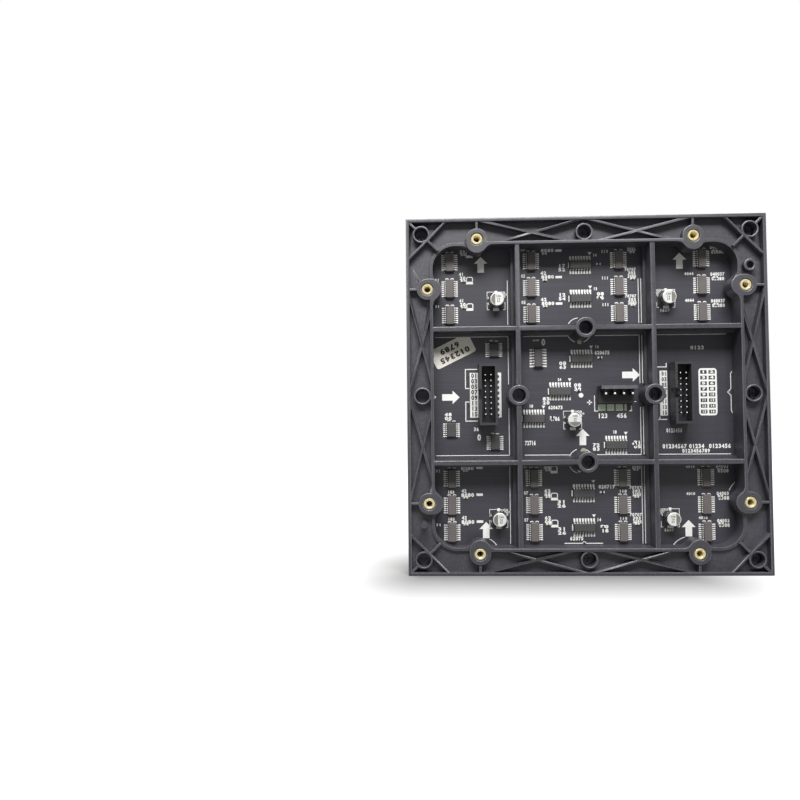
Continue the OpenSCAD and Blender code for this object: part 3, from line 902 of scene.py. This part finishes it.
# Cells of the sticker's mesh, across and up
CELLS_U = 40
CELLS_V = 20
# Printed rows: numbers, place from the middle, and width
LABEL_ROWS = (("012345", 0.2, -1.95, 15.0), ("6789", -0.6, 1.95, 10.0))


def cut(bm, point, normal):
    """Cuts away what lies beyond a plane, and closes the cut."""
    found = bmesh.ops.bisect_plane(
        bm, geom=bm.verts[:] + bm.edges[:] + bm.faces[:], plane_co=point, plane_no=normal, clear_outer=True
    )
    edges = [e for e in found["geom_cut"] if isinstance(e, bmesh.types.BMEdge)]
    bmesh.ops.holes_fill(bm, edges=edges, sides=0)


def label_point(i, j):
    """A point from the sticker's middle, inside its round corners, and its lift."""
    x = (i / CELLS_U - 0.5) * LABEL_W
    y = (j / CELLS_V - 0.5) * LABEL_H
    dx = abs(x) - (LABEL_W / 2 - LABEL_R)
    dy = abs(y) - (LABEL_H / 2 - LABEL_R)
    if dx > 0 and dy > 0 and hypot(dx, dy) > LABEL_R:
        k = LABEL_R / hypot(dx, dy)
        x = copysign(LABEL_W / 2 - LABEL_R + dx * k, x)
        y = copysign(LABEL_H / 2 - LABEL_R + dy * k, y)
    lift = 0.5 * max(0.0, x / LABEL_W - 0.3) ** 2 * 25 * max(0.0, y / LABEL_H + 0.2)
    lift += 0.02 * sin(3 * x) * sin(2 * y)
    return x, y, lift


def sticker():
    bm = bmesh.new()
    grid = {}
    for level in (0, 1):
        for i in range(CELLS_U + 1):
            for j in range(CELLS_V + 1):
                x, y, lift = label_point(i, j)
                spot = spun(*LABEL_AT, x, y, LABEL_TURN)
                grid[level, i, j] = bm.verts.new((*spot, LABEL_GAP + lift + level * LABEL_T))
    for i in range(CELLS_U):
        for j in range(CELLS_V):
            cell = ((i, j), (i + 1, j), (i + 1, j + 1), (i, j + 1))
            for level in (0, 1):
                bm.faces.new([grid[level, a, b] for a, b in cell])
    ring = [(i, 0) for i in range(CELLS_U)] + [(CELLS_U, j) for j in range(CELLS_V)]
    ring += [(i, CELLS_V) for i in range(CELLS_U, 0, -1)] + [(0, j) for j in range(CELLS_V, 0, -1)]
    for k, a in enumerate(ring):
        b = ring[(k + 1) % len(ring)]
        bm.faces.new((grid[0, *a], grid[0, *b], grid[1, *b], grid[1, *a]))
    cut(bm, (LABEL_WALL, 0, 0), (-1, 0, 0))
    cut(bm, (0, LABEL_RIB, 0), (0, 1, 0))
    piece("label_sticker", bm, ["paper"], "label_paper", "label", smooth=60.0)


def label_numbers():
    bm = bmesh.new()
    for text, x, y, width in LABEL_ROWS:
        spot = spun(*LABEL_AT, x, y, LABEL_TURN)
        numerals(bm, text, *spot, width, height=2.4, level=0.145, turn=LABEL_TURN + 180.0)
    piece("label_numbers", bm, ["print"], "label_paper", "label")


# Markings: white ink on the board, with plain numbers, and bare pads

ARROW_STEM = 1.5
ARROW_HEAD = 3.1
ARROW_TIP = 3.2
CORNER_INK = 0.24


def ink_line(bm, path, width=0.32):
    prism(bm, strip(path, width), 0.0, INK)


def ink_box(bm, u0, v0, u1, v1, low=0.0, high=INK):
    prism(bm, [(u0, v0), (u1, v0), (u1, v1), (u0, v1)], low, high)


def ink_arrow(bm, u, v, length, turn):
    tip = length / 2
    neck = tip - ARROW_TIP
    outline = [
        (-ARROW_STEM, -tip), (ARROW_STEM, -tip), (ARROW_STEM, neck), (ARROW_HEAD, neck), (0, tip),
        (-ARROW_HEAD, neck), (-ARROW_STEM, neck),
    ]
    prism(bm, [spun(u, v, x, y, turn) for x, y in outline], 0.0, INK)


def ink_rows(bm, u, v, rows):
    """Rows of numerals: what each shows, its place from u and v, its width and height."""
    for text, du, dv, width, height in rows:
        numerals(bm, text, u + du, v + dv, width, height)


def ink_pair(bm, text, u, v, width=3.4):
    """Two rows of two numerals each, one above the other."""
    for part, s in ((text[:2], 1), (text[2:], -1)):
        numerals(bm, part, u, v + s * 0.9, width, 1.5)


def ink_tab(bm, u, v):
    """A rounded outline whose lower part is solid."""
    left = u - 1.6
    right = u + 1.6
    low = v - 1.7
    high = v + 1.7
    ink_box(bm, left, low, right, low + 1.2)
    path = [
        (left + 0.2, low + 1), (left + 0.2, high - 0.6), (left + 0.7, high - 0.15),
        (right - 0.7, high - 0.15), (right - 0.2, high - 0.6), (right - 0.2, low + 1),
    ]
    ink_line(bm, path, 0.42)


# Numbers around the column drivers, by column and upper half or not
DRIVER_ROWS = {
    (0, True): (("31", -5.8, 4.2, 2.2, 1.2), ("41", 5.4, 6.7, 2.2, 1.5), ("20", 6.0, 4.9, 2.8, 1.5)),
    (1, True): (("05", -3.6, 5.5, 2.0, 1.5), ("42", 5.7, 6.7, 2.8, 1.6), ("8080", 7.6, 4.9, 6.0, 1.5)),
    (2, True): (("111", -6.2, 4.0, 3.4, 1.3), ("70707", 5.3, 7.8, 5.2, 1.3), ("303", 6.0, 6.2, 3.6, 1.4),
        ("3080", 6.0, 4.6, 4.0, 1.5)),
    (3, True): (("4044", -5.6, 5.4, 4.2, 1.3), ("040037", 7.2, 5.0, 6.4, 1.5),
        ("03080", 7.4, 2.9, 5.8, 1.5)),
    (0, False): (("31", -6.2, 3.4, 2.6, 1.2), ("183", -0.4, 6.0, 3.2, 1.4), ("42", 5.6, 6.5, 2.4, 1.5),
        ("8080", 7.2, 4.6, 6.0, 1.6)),
    (1, False): (("07", -3.7, 5.4, 1.9, 1.5), ("62", 6.1, 6.3, 3.0, 1.5), ("08", 6.1, 4.6, 3.0, 1.4)),
    (2, False): (("110", 0.2, 6.1, 3.6, 1.3), ("70707", 5.8, 7.7, 5.6, 1.3), ("303", 6.2, 6.1, 3.8, 1.4),
        ("3080", 6.4, 4.5, 4.0, 1.5)),
    (3, False): (("4010", -6.9, 4.8, 4.1, 1.2), ("04003", 7.4, 4.8, 5.6, 1.5),
        ("0308", 7.8, 2.8, 5.0, 1.6)),
}
# The last driver's first number stands over it
LAST_DRIVER_ROW = ("4010", -1.6, 6.2, 4.1, 1.2)
# Columns and halves with a tab or a bar, and drivers with a pair of rows
TABS = ((0, True), (1, False))
BARS = ((1, True), (0, False))
DRIVER_PAIRS = (18, 22)


def driver_marks(bm, n):
    """Arcs over a column driver, and its numbers, tab or bar."""
    u, v = place(f"column_driver_{n}")
    kind = ((n - 1) % 4, n <= DRIVERS // 2)
    for s in (-1, 1):
        ink_line(bm, arc(u + s * 1.2, v + 4.0, 0.9, 35, 145, 6), 0.42)
    rows = DRIVER_ROWS[kind]
    if n == DRIVERS:
        rows = (LAST_DRIVER_ROW, *rows[1:])
    ink_rows(bm, u, v, rows)
    if kind in TABS:
        ink_tab(bm, u + 9.2, v + 3.8)
    if kind in BARS:
        ink_box(bm, u + 11.2, v + 4.3, u + 14.2, v + 5.4)
    if n in DRIVER_PAIRS:
        ink_pair(bm, "3126", u + 12.4, v + 0.4, 4.0)


# Numbers around the row drivers: pairs of rows and single rows
ROW_PAIRS = {
    1: (("1254", -8.4, 0.9), ("0836", 9.1, 1.1)),
    2: (("1752", -8.4, -1.2),),
    4: (("3018", 9.3, -0.7),),
    5: (("0863", -8.6, -3.0),),
    6: (("0830", 8.0, 1.8), ("8320", -6.4, -4.4)),
    8: (("7283", -9.0, -1.0), ("7105", 9.6, 0.0)),
}
ROW_ROWS = {
    1: (("13", 6.8, 4.4, 1.8, 1.3),),
    2: (("14", 6.8, 4.4, 1.8, 1.3),),
    3: (("020719", 10.4, 2.8, 7.4, 1.6),),
    4: (("14", 6.7, 3.4, 2.0, 1.4), ("62075", -3.5, -5.1, 6.2, 1.6)),
    5: (("620675", 9.4, 2.6, 6.9, 1.6), ("12", 7.0, 5.3, 1.9, 1.2)),
    6: (("24", -0.2, 5.3, 1.7, 1.2),),
    7: (("18", -1.2, 5.6, 1.8, 1.4), ("620673", 9.9, 4.9, 6.6, 1.5), ("4706", 9.5, -0.3, 4.6, 1.8)),
    8: (("18", -0.5, 5.8, 1.8, 1.4),),
}


def row_marks(bm, n):
    """A bar and a triangle at a row driver, and its numbers."""
    u, v = place(f"row_driver_{n}")
    ink_box(bm, u - 5.5, v - 1.4, u - 5.0, v + 1.4)
    prism(bm, [(u + 3.6, v + 5.9), (u + 5.3, v + 5.9), (u + 4.45, v + 4.5)], 0.0, INK)
    ink_rows(bm, u, v, ROW_ROWS[n])
    for text, du, dv in ROW_PAIRS.get(n, ()):
        ink_pair(bm, text, u + du, v + dv)


# Capacitors with a plus sign on the right, and arcs at a corner: radius and half angle
PLUS_ON_RIGHT = (1, 3, 4)
CAN_ARCS = ((3.75, 30), (4.4, 26), (5.05, 14))


def can_marks(bm, n):
    """A square with open sides around a capacitor, arcs at a corner, and a plus sign."""
    u, v = place(f"capacitor_{n}")
    a = 4.1
    side = 1 if n in PLUS_ON_RIGHT else -1
    ink_line(bm, [(u - a, v + 1.6), (u - a, v + a), (u + a, v + a), (u + a, v + 1.9)], CORNER_INK)
    ink_line(bm, [(u - a, v - 1.6), (u - a, v - a), (u - a + 1.1, v - a)], CORNER_INK)
    ink_line(bm, [(u + a, v - 0.6), (u + a, v - a), (u + a - 1.1, v - a)], CORNER_INK)
    corner = 90 - side * 45
    for r, half in CAN_ARCS:
        ink_line(bm, arc(u, v, r, corner - half, corner + half), 0.36)
    for k in (-1, 1):
        numerals(bm, "10", u - side * 3.8, v + k * 1.35, 1.3, 1.0)
    plus = u + side * 4.9
    ink_line(bm, [(plus - 0.5, v + 2.9), (plus + 0.5, v + 2.9)], 0.34)
    ink_line(bm, [(plus, v + 2.4), (plus, v + 3.4)], 0.34)
    if side < 0:
        numerals(bm, "1607", u - 0.6, v - 5.6, 4.6, 1.2)


def logic_marks(bm):
    """An arc and a bar over each logic buffer, and the numbers beside the logic chips."""
    for node in numbered("logic_buffer", BUFFERS):
        u, v = place(node)
        ink_line(bm, arc(u - 1.1, v + 3.7, 0.8, 35, 145, 6), 0.36)
        ink_line(bm, [(u + 0.4, v + 4.2), (u + 2.0, v + 4.2)], 0.36)
    u, v = place("logic_buffer_3")
    ink_pair(bm, "4800", u - 1.4, v + 6.2)
    u, v = place("logic_gate")
    ink_rows(bm, u, v, (("0", 2.5, 7.1, 2.0, 2.9), ("0147", -0.8, 8.1, 3.0, 0.8)))


# Lines along the ribs' feet: where they run, and from where to where
LEFT_RIB = -33.45
RIGHT_RIB = 26.3
RIGHT_RIB_OUTER = 27.5
UPPER_RIB = 27.45
LOWER_RIB = -27.1
CLIMBS = ((33.0, 53.5), (5.4, UPPER_RIB), (LOWER_RIB, -5.4), (-67.4, -31.5))
RUNS = ((-67.0, LEFT_RIB), (-26.5, -6.2), (6.2, RIGHT_RIB))
UPPER_RUNS = (*RUNS, (33.0, 65.5))
LOWER_RUNS = (*RUNS, (33.0, 66.5))
# Arcs around two tubes: level of the tube, first and last angle
TUBE_ARCS = (
    (30.0, 95, 148), (30.0, 204, 250), (30.0, 290, 336),
    (-30.0, 24, 70), (-30.0, 110, 156), (-30.0, 200, 250),
)
# Arcs at bosses and on the lower line: u, v, radius, first and last angle
BOSS_ARCS = (
    (-0.1, -67.3, 0.75, 0, 180), (-46.2, -72.2, 7.6, 32, 65), (47.2, -73.5, 9.1, 104, 146),
    (74.2, -47.2, 9.6, 125, 158),
)


def rib_marks(bm):
    """Lines along the ribs and the opening's walls, with arcs around tubes and bosses."""
    for low, high in CLIMBS:
        for u in (LEFT_RIB, RIGHT_RIB, RIGHT_RIB_OUTER):
            ink_line(bm, [(u, low), (u, high)])
    for v, runs in ((UPPER_RIB, UPPER_RUNS), (LOWER_RIB, LOWER_RUNS)):
        for start, end in runs:
            ink_line(bm, [(start, v), (end, v)])
    for v, start, end in TUBE_ARCS:
        ink_line(bm, arc(-0.9, v, 5.7, start, end), 0.34)
    for start, end in ((-9.0, -0.8), (0.6, 8.4)):
        ink_line(bm, [(start, -67.3), (end, -67.3)], 0.4)
    for u, v, r, start, end in BOSS_ARCS:
        ink_line(bm, arc(u, v, r, start, end), 0.34)
    wall_marks(bm)


def wall_marks(bm):
    """A ring and a brace at the opening's right wall, and a notch at its left wall."""
    middle = 0.9
    ink_line(bm, arc(66.3, middle, 0.6, 60, 300, 10), 0.3)
    for s in (-1, 1):
        path = [(67.6, 9.4), (67.1, 8.4), (67.1, 1.6), (66.4, 0.8)]
        ink_line(bm, [(u, middle + s * v) for u, v in path], 0.34)
    ink_line(bm, [(-67.6, 0.4), (-66.9, 0.0), (-67.6, -0.6)], 0.34)


# Level of the signal headers' middle
HEADER_MIDDLE = 0.6
# Dark numerals on a white strip start a little inside it
NUMERAL_LEVEL = INK - 0.008


def header_numbers(dark, u, width, height):
    """Pin numbers beside a signal header, and their levels."""
    levels = [HEADER_MIDDLE + ((PIN_ROWS - 1) / 2 - k) * PIN_PITCH for k in range(PIN_ROWS)]
    for k, v in enumerate(levels):
        numerals(dark, f"{2 * k + 1:02d}", u, v, width, height, NUMERAL_LEVEL)
    return levels


def input_marks(bm, dark):
    """White strips on both sides of the input header, and brackets around it."""
    middle = HEADER_MIDDLE
    for u0, u1 in ((-51.2, -47.3), (-39.2, -36.8)):
        ink_box(bm, u0, middle - 10.3, u1, middle + 10.3)
    for v in header_numbers(dark, -49.2, 3.0, 2.0):
        prism(dark, arc(-38.5, v - 0.4, 0.8, -90, 90, 8), INK - 0.002, INK + 0.01)
    for s in (-1, 1):
        path = [(-47.7, 11.9), (-53.2, 11.9), (-53.2, 3.1), (-51.4, 3.1)]
        ink_line(bm, [(u, middle + s * v) for u, v in path], 0.4)
        for away in (5.0, 8.2):
            v = middle + s * away
            ink_box(dark, -52.2, v - 0.8, -51.5, v + 0.8)


def output_marks(bm, dark):
    """A white strip beside the output header, and lines at its ends."""
    ink_box(bm, 35.2, HEADER_MIDDLE - 10.1, 38.6, HEADER_MIDDLE + 10.4)
    header_numbers(dark, 37.2, 2.4, 1.8)
    ink_line(bm, [(34.2, 12.7), (38.3, 12.7), (38.3, 14.5)], 0.4)
    ink_line(bm, [(34.2, -11.3), (38.3, -11.3)], 0.4)
    ink_line(bm, [(35.0, -11.2), (35.0, -10.0)], 0.4)


# Table of the output header's pins: its sides, and the spacing of its cells
TABLE_LEFT = 52.7
TABLE_RIGHT = 60.9
TABLE_LOW = -9.6
TABLE_HIGH = 11.9
CELL_ACROSS = 3.7
CELL_DOWN = 2.58


def table_marks(bm, dark):
    """A white table of the output header's pins, with a dark cell for each."""
    u = (TABLE_LEFT + TABLE_RIGHT) / 2
    v = (TABLE_LOW + TABLE_HIGH) / 2
    outline = rounded(TABLE_RIGHT - TABLE_LEFT, TABLE_HIGH - TABLE_LOW, 1.3)
    prism(bm, [(x + u, y + v) for x, y in outline], 0.0, INK)
    for k in range(PIN_ROWS):
        for s in (0, 1):
            u = TABLE_LEFT + 2.25 + s * CELL_ACROSS
            v = TABLE_HIGH - 1.7 - k * CELL_DOWN
            ink_box(dark, u - 1.45, v - 0.85, u + 1.45, v + 0.85, INK, INK + 0.01)
            numerals(bm, f"{2 * k + s + 1}", u, v, 2.0, 1.1, INK)


# Bare spots at the tubes: u, v and radius
TUBE_SPOTS = ((0.3, -25.4, 1.4), (-0.8, 24.7, 1.1), (-1.8, -34.4, 0.8))
# Width of the power pads, and of the last one
PAD_W = 3.4
LAST_PAD_W = 1.1


def power_marks(bm):
    """The outline, signs, numbers and dot at the power header."""
    v = POWER_AT[1]
    ink_line(bm, [(5.6, v - 0.6), (5.6, -7.2), (7.2, -7.2)], 0.42)
    ink_line(bm, [(22.2, -4.8), (22.2, -7.2), (21.2, -7.2)], 0.42)
    ink_line(bm, [(2.1, -3.2), (4.5, -3.2)], 0.5)
    ink_line(bm, [(3.3, -4.3), (3.3, -2.1)], 0.5)
    ink_line(bm, [(23.0, -3.0), (24.5, -3.0)], 0.4)
    prism(bm, arc(-0.5, 0.1, 1.05, 0, 345, 23), 0.0, INK)
    ink_rows(bm, 0, 0, (("123", 9.2, -9.5, 4.6, 2.0), ("456", 17.8, -9.5, 4.6, 2.0)))


def bare_pads():
    """Tinned pads in front of the power header, and bare spots at the tubes."""
    pads = bmesh.new()
    for k, x in enumerate(POWER_COLUMNS):
        wide = PAD_W if k < POWER_PINS - 1 else LAST_PAD_W
        u = x - PAD_W / 2 + wide / 2
        block(pads, u, POWER_AT[1] - 6.1, wide, h=3.0, low=0.0, high=0.12, edge=0.05, corner=0.25)
    piece("power_pads", pads, ["solder"], "tin")
    spots = bmesh.new()
    for u, v, r in TUBE_SPOTS:
        turned(spots, u, v, ((r, 0.0), (r, 0.02), (r - 0.15, 0.06), (r * 0.4, 0.08)), 20)
    piece("tube_pads", spots, ["pad"], "tin")


# Arrows that point up and to the right, and rows of numbers by themselves
UP_ARROWS = ((-45.6, 61.0), (45.2, 61.4), (0.0, -19.0), (-44.5, -61.2), (46.9, -60.6))
RIGHT_ARROWS = ((-60.0, -0.3), (22.3, 9.2))
LOOSE_ROWS = (
    ("72716", -23.9, -21.7, 5.0, 1.9), ("36", -48.5, -15.2, 2.4, 1.6), ("0", -47.2, -19.0, 1.9, 2.8),
    ("0123456", 41.3, -16.4, 7.2, 1.8), ("0123", 52.4, 21.3, 6.4, 1.6),
    ("01234567", 41.3, -23.6, 11.0, 1.8), ("01234", 51.2, -23.6, 7.0, 1.8),
    ("0123456", 61.6, -23.6, 10.0, 1.8), ("0123456789", 50.9, -25.7, 12.6, 1.6),
)


def markings():
    bm = bmesh.new()
    dark = bmesh.new()
    for u, v in UP_ARROWS:
        ink_arrow(bm, u, v, 7.4, 0)
    for u, v in RIGHT_ARROWS:
        ink_arrow(bm, u, v, 8.0, -90)
    for n in range(1, DRIVERS + 1):
        driver_marks(bm, n)
    for n in range(1, ROW_DRIVERS + 1):
        row_marks(bm, n)
    for n in range(1, CANS + 1):
        can_marks(bm, n)
    logic_marks(bm)
    ink_rows(bm, 0, 0, LOOSE_ROWS)
    rib_marks(bm)
    input_marks(bm, dark)
    output_marks(bm, dark)
    table_marks(bm, dark)
    power_marks(bm)
    piece("board_markings", bm, ["ink"], "board")
    piece("board_markings_dark", dark, ["dark_ink"], "board")


# Floor, light and camera

# Strength of the background in reflections, and of the even light from all around
MIRRORED = 0.2
EVEN_LIGHT = 0.2
# Steps to a floor spot's distance from a painted shadow patch: its middle, half size and fade, in metres
PAINTED_SHADOW_STEPS = (
    ("SUBTRACT", (0.016, -0.007, 0)), ("ABSOLUTE", None), ("SUBTRACT", (0.058, 0.008, 1)),
    ("MAXIMUM", (0, 0, 0)), ("MULTIPLY", (1 / 0.04, 1 / 0.06, 0)), ("LENGTH", None),
)
# Lamps: name, place, target, width, height and power
LAMPS = (
    ("key", (0.03, 0.51, 0.63), (0.02, 0, 0.02), 0.6, 0.28, 10.8),
    ("front", (-0.45, -0.75, 0.45), (0, 0, 0), 0.6, 0.6, 7.0),
    ("side", (0.7, -0.4, 0.35), (0, 0, 0), 0.4, 0.4, 2.5),
)
# The photograph's view: the camera's place, right and up, and its lens
CAMERA_AT = (0.07112, 0.32509, -0.01232)
CAMERA_RIGHT = Vector((-0.99928, -0.03703, -0.00835))
CAMERA_UP = Vector((-0.00955, 0.03252, 0.99943))
LENS = 32.73


def calc(nt, operation, a, b):
    """A math node on two values, each a number or a socket."""
    node = add(nt, "Math")
    node.operation = operation
    feed(nt, node.inputs[0], a)
    feed(nt, node.inputs[1], b)
    return node.outputs[0]


def seen_level(nt, mirrored):
    """One where the camera looks, a share of it in reflections, and nothing for other rays."""
    path = add(nt, "LightPath").outputs
    straight = calc(nt, "MAXIMUM", path["Is Camera Ray"], path["Is Transmission Ray"])
    return calc(nt, "MAXIMUM", straight, calc(nt, "MULTIPLY", path["Is Glossy Ray"], mirrored))


def floor_look():
    """Takes the part's shadow in its diffuse part, adds a painted shadow where its glow dims near the
    part, and is white to the camera away from it.
    """
    mat, nt, _, _ = tree("floor")
    nt.nodes.clear()
    reach = add(nt, "NewGeometry").outputs["Position"]
    for operation, value in PAINTED_SHADOW_STEPS:
        step = add(nt, "VectorMath")
        step.operation = operation
        feed(nt, step.inputs[0], reach)
        if value:
            feed(nt, step.inputs[1], value)
        reach = step.outputs["Value" if operation == "LENGTH" else "Vector"]
    # Near the part the glow falls to a tenth: a painted shadow
    fade = add(nt, "MapRange", Value=reach, To_Min=0.1)
    level = calc(nt, "MULTIPLY", fade.outputs[0], seen_level(nt, MIRRORED))
    both = add(nt, "AddShader")
    feed(nt, both.inputs[0], add(nt, "BsdfDiffuse", Color=(0.2, 0.2, 0.2, 1)).outputs[0])
    feed(nt, both.inputs[1], add(nt, "Emission", Strength=level).outputs[0])
    add(nt, "OutputMaterial", Surface=both.outputs[0])
    return mat


def floor():
    mesh = bpy.data.meshes.new("floor")
    s = 4.0
    z = -HALF * MM
    mesh.from_pydata([(-s, -s, z), (s, -s, z), (s, s, z), (-s, s, z)], [], [(0, 1, 2, 3)])
    mesh.materials.append(floor_look())
    put("floor", mesh)


def world():
    """White to the camera, and a faint, slightly green even light on the part."""
    sky = bpy.data.worlds.new("studio")
    scene.world = sky
    sky.use_nodes = True
    nt = sky.node_tree
    back = nt.nodes["Background"]
    nt.links.new(calc(nt, "MAXIMUM", seen_level(nt, MIRRORED), EVEN_LIGHT), back.inputs["Strength"])
    shade = (0.88, 1.0, 0.78, 1)
    nt.links.new(blend(nt, seen_level(nt, 1.0), shade, WHITE), back.inputs["Color"])


def lamp(name, spot, target, width, height, power):
    data = bpy.data.lights.new(name, "AREA")
    data.shape = "RECTANGLE"
    data.size = width
    data.size_y = height
    data.energy = power
    obj = put(name, data)
    obj.location = spot
    obj.rotation_euler = (Vector(target) - Vector(spot)).to_track_quat("-Z", "Y").to_euler()


def camera():
    data = bpy.data.cameras.new("camera")
    data.sensor_width = 36.0
    data.lens = LENS
    data.clip_start = 0.01
    back = CAMERA_RIGHT.cross(CAMERA_UP)
    axes = Matrix((CAMERA_RIGHT, CAMERA_UP, back)).transposed()
    scene.camera = put("camera", data)
    scene.camera.matrix_world = Matrix.Translation(CAMERA_AT) @ axes.to_4x4()


# The part, piece by piece, and then the studio

keep("circuit_board", "board")
keep("frame_screws", "steel")
keep("solder_nuts", "tin")
rear_frame()
half = LED_COUNT // 2
for number, (first, lowest) in enumerate(((0, 0), (half, 0), (0, half), (half, half)), 1):
    led_block(number, range(first, first + half), range(lowest, lowest + half))
for node in numbered("column_driver", DRIVERS):
    chip(node, "resin", leads=8, pitch=0.95, end=1.0, w=3.9, h=1.6, pad=0.75)
for node in numbered("row_driver", ROW_DRIVERS):
    chip(node, "dark_resin", leads=8, pitch=1.27, end=0.5, w=3.9, h=1.7, pad=1.15, turn=90.0)
for node in numbered("logic_buffer", BUFFERS):
    chip(node, "dark_resin", leads=7, pitch=0.95, end=0.4, w=4.4, h=1.2, pad=0.6)
chip("logic_gate", "dark_resin", leads=7, pitch=1.27, end=0.5, w=3.9, h=1.7, pad=0.9)
for number in range(1, CANS + 1):
    capacitor(number)
for kind in ("input", "output"):
    signal_header(kind)
power_header()
inserts()
driver_spots = [place(node) for node in numbered("column_driver", DRIVERS)]
row_spots = [place(node) for node in numbered("row_driver", ROW_DRIVERS)]
chip_parts("chip_capacitors", [(u + 6.3, v + 3.6) for u, v in driver_spots], "ceramic", "chip_ceramic")
chip_parts("chip_resistors", [(u + 8.4, v + 0.4) for u, v in row_spots], "resistor", "resistor_ceramic")
sticker()
label_numbers()
bare_pads()
markings()
floor()
world()
for settings in LAMPS:
    lamp(*settings)
camera()
scene.view_settings.view_transform = "Standard"
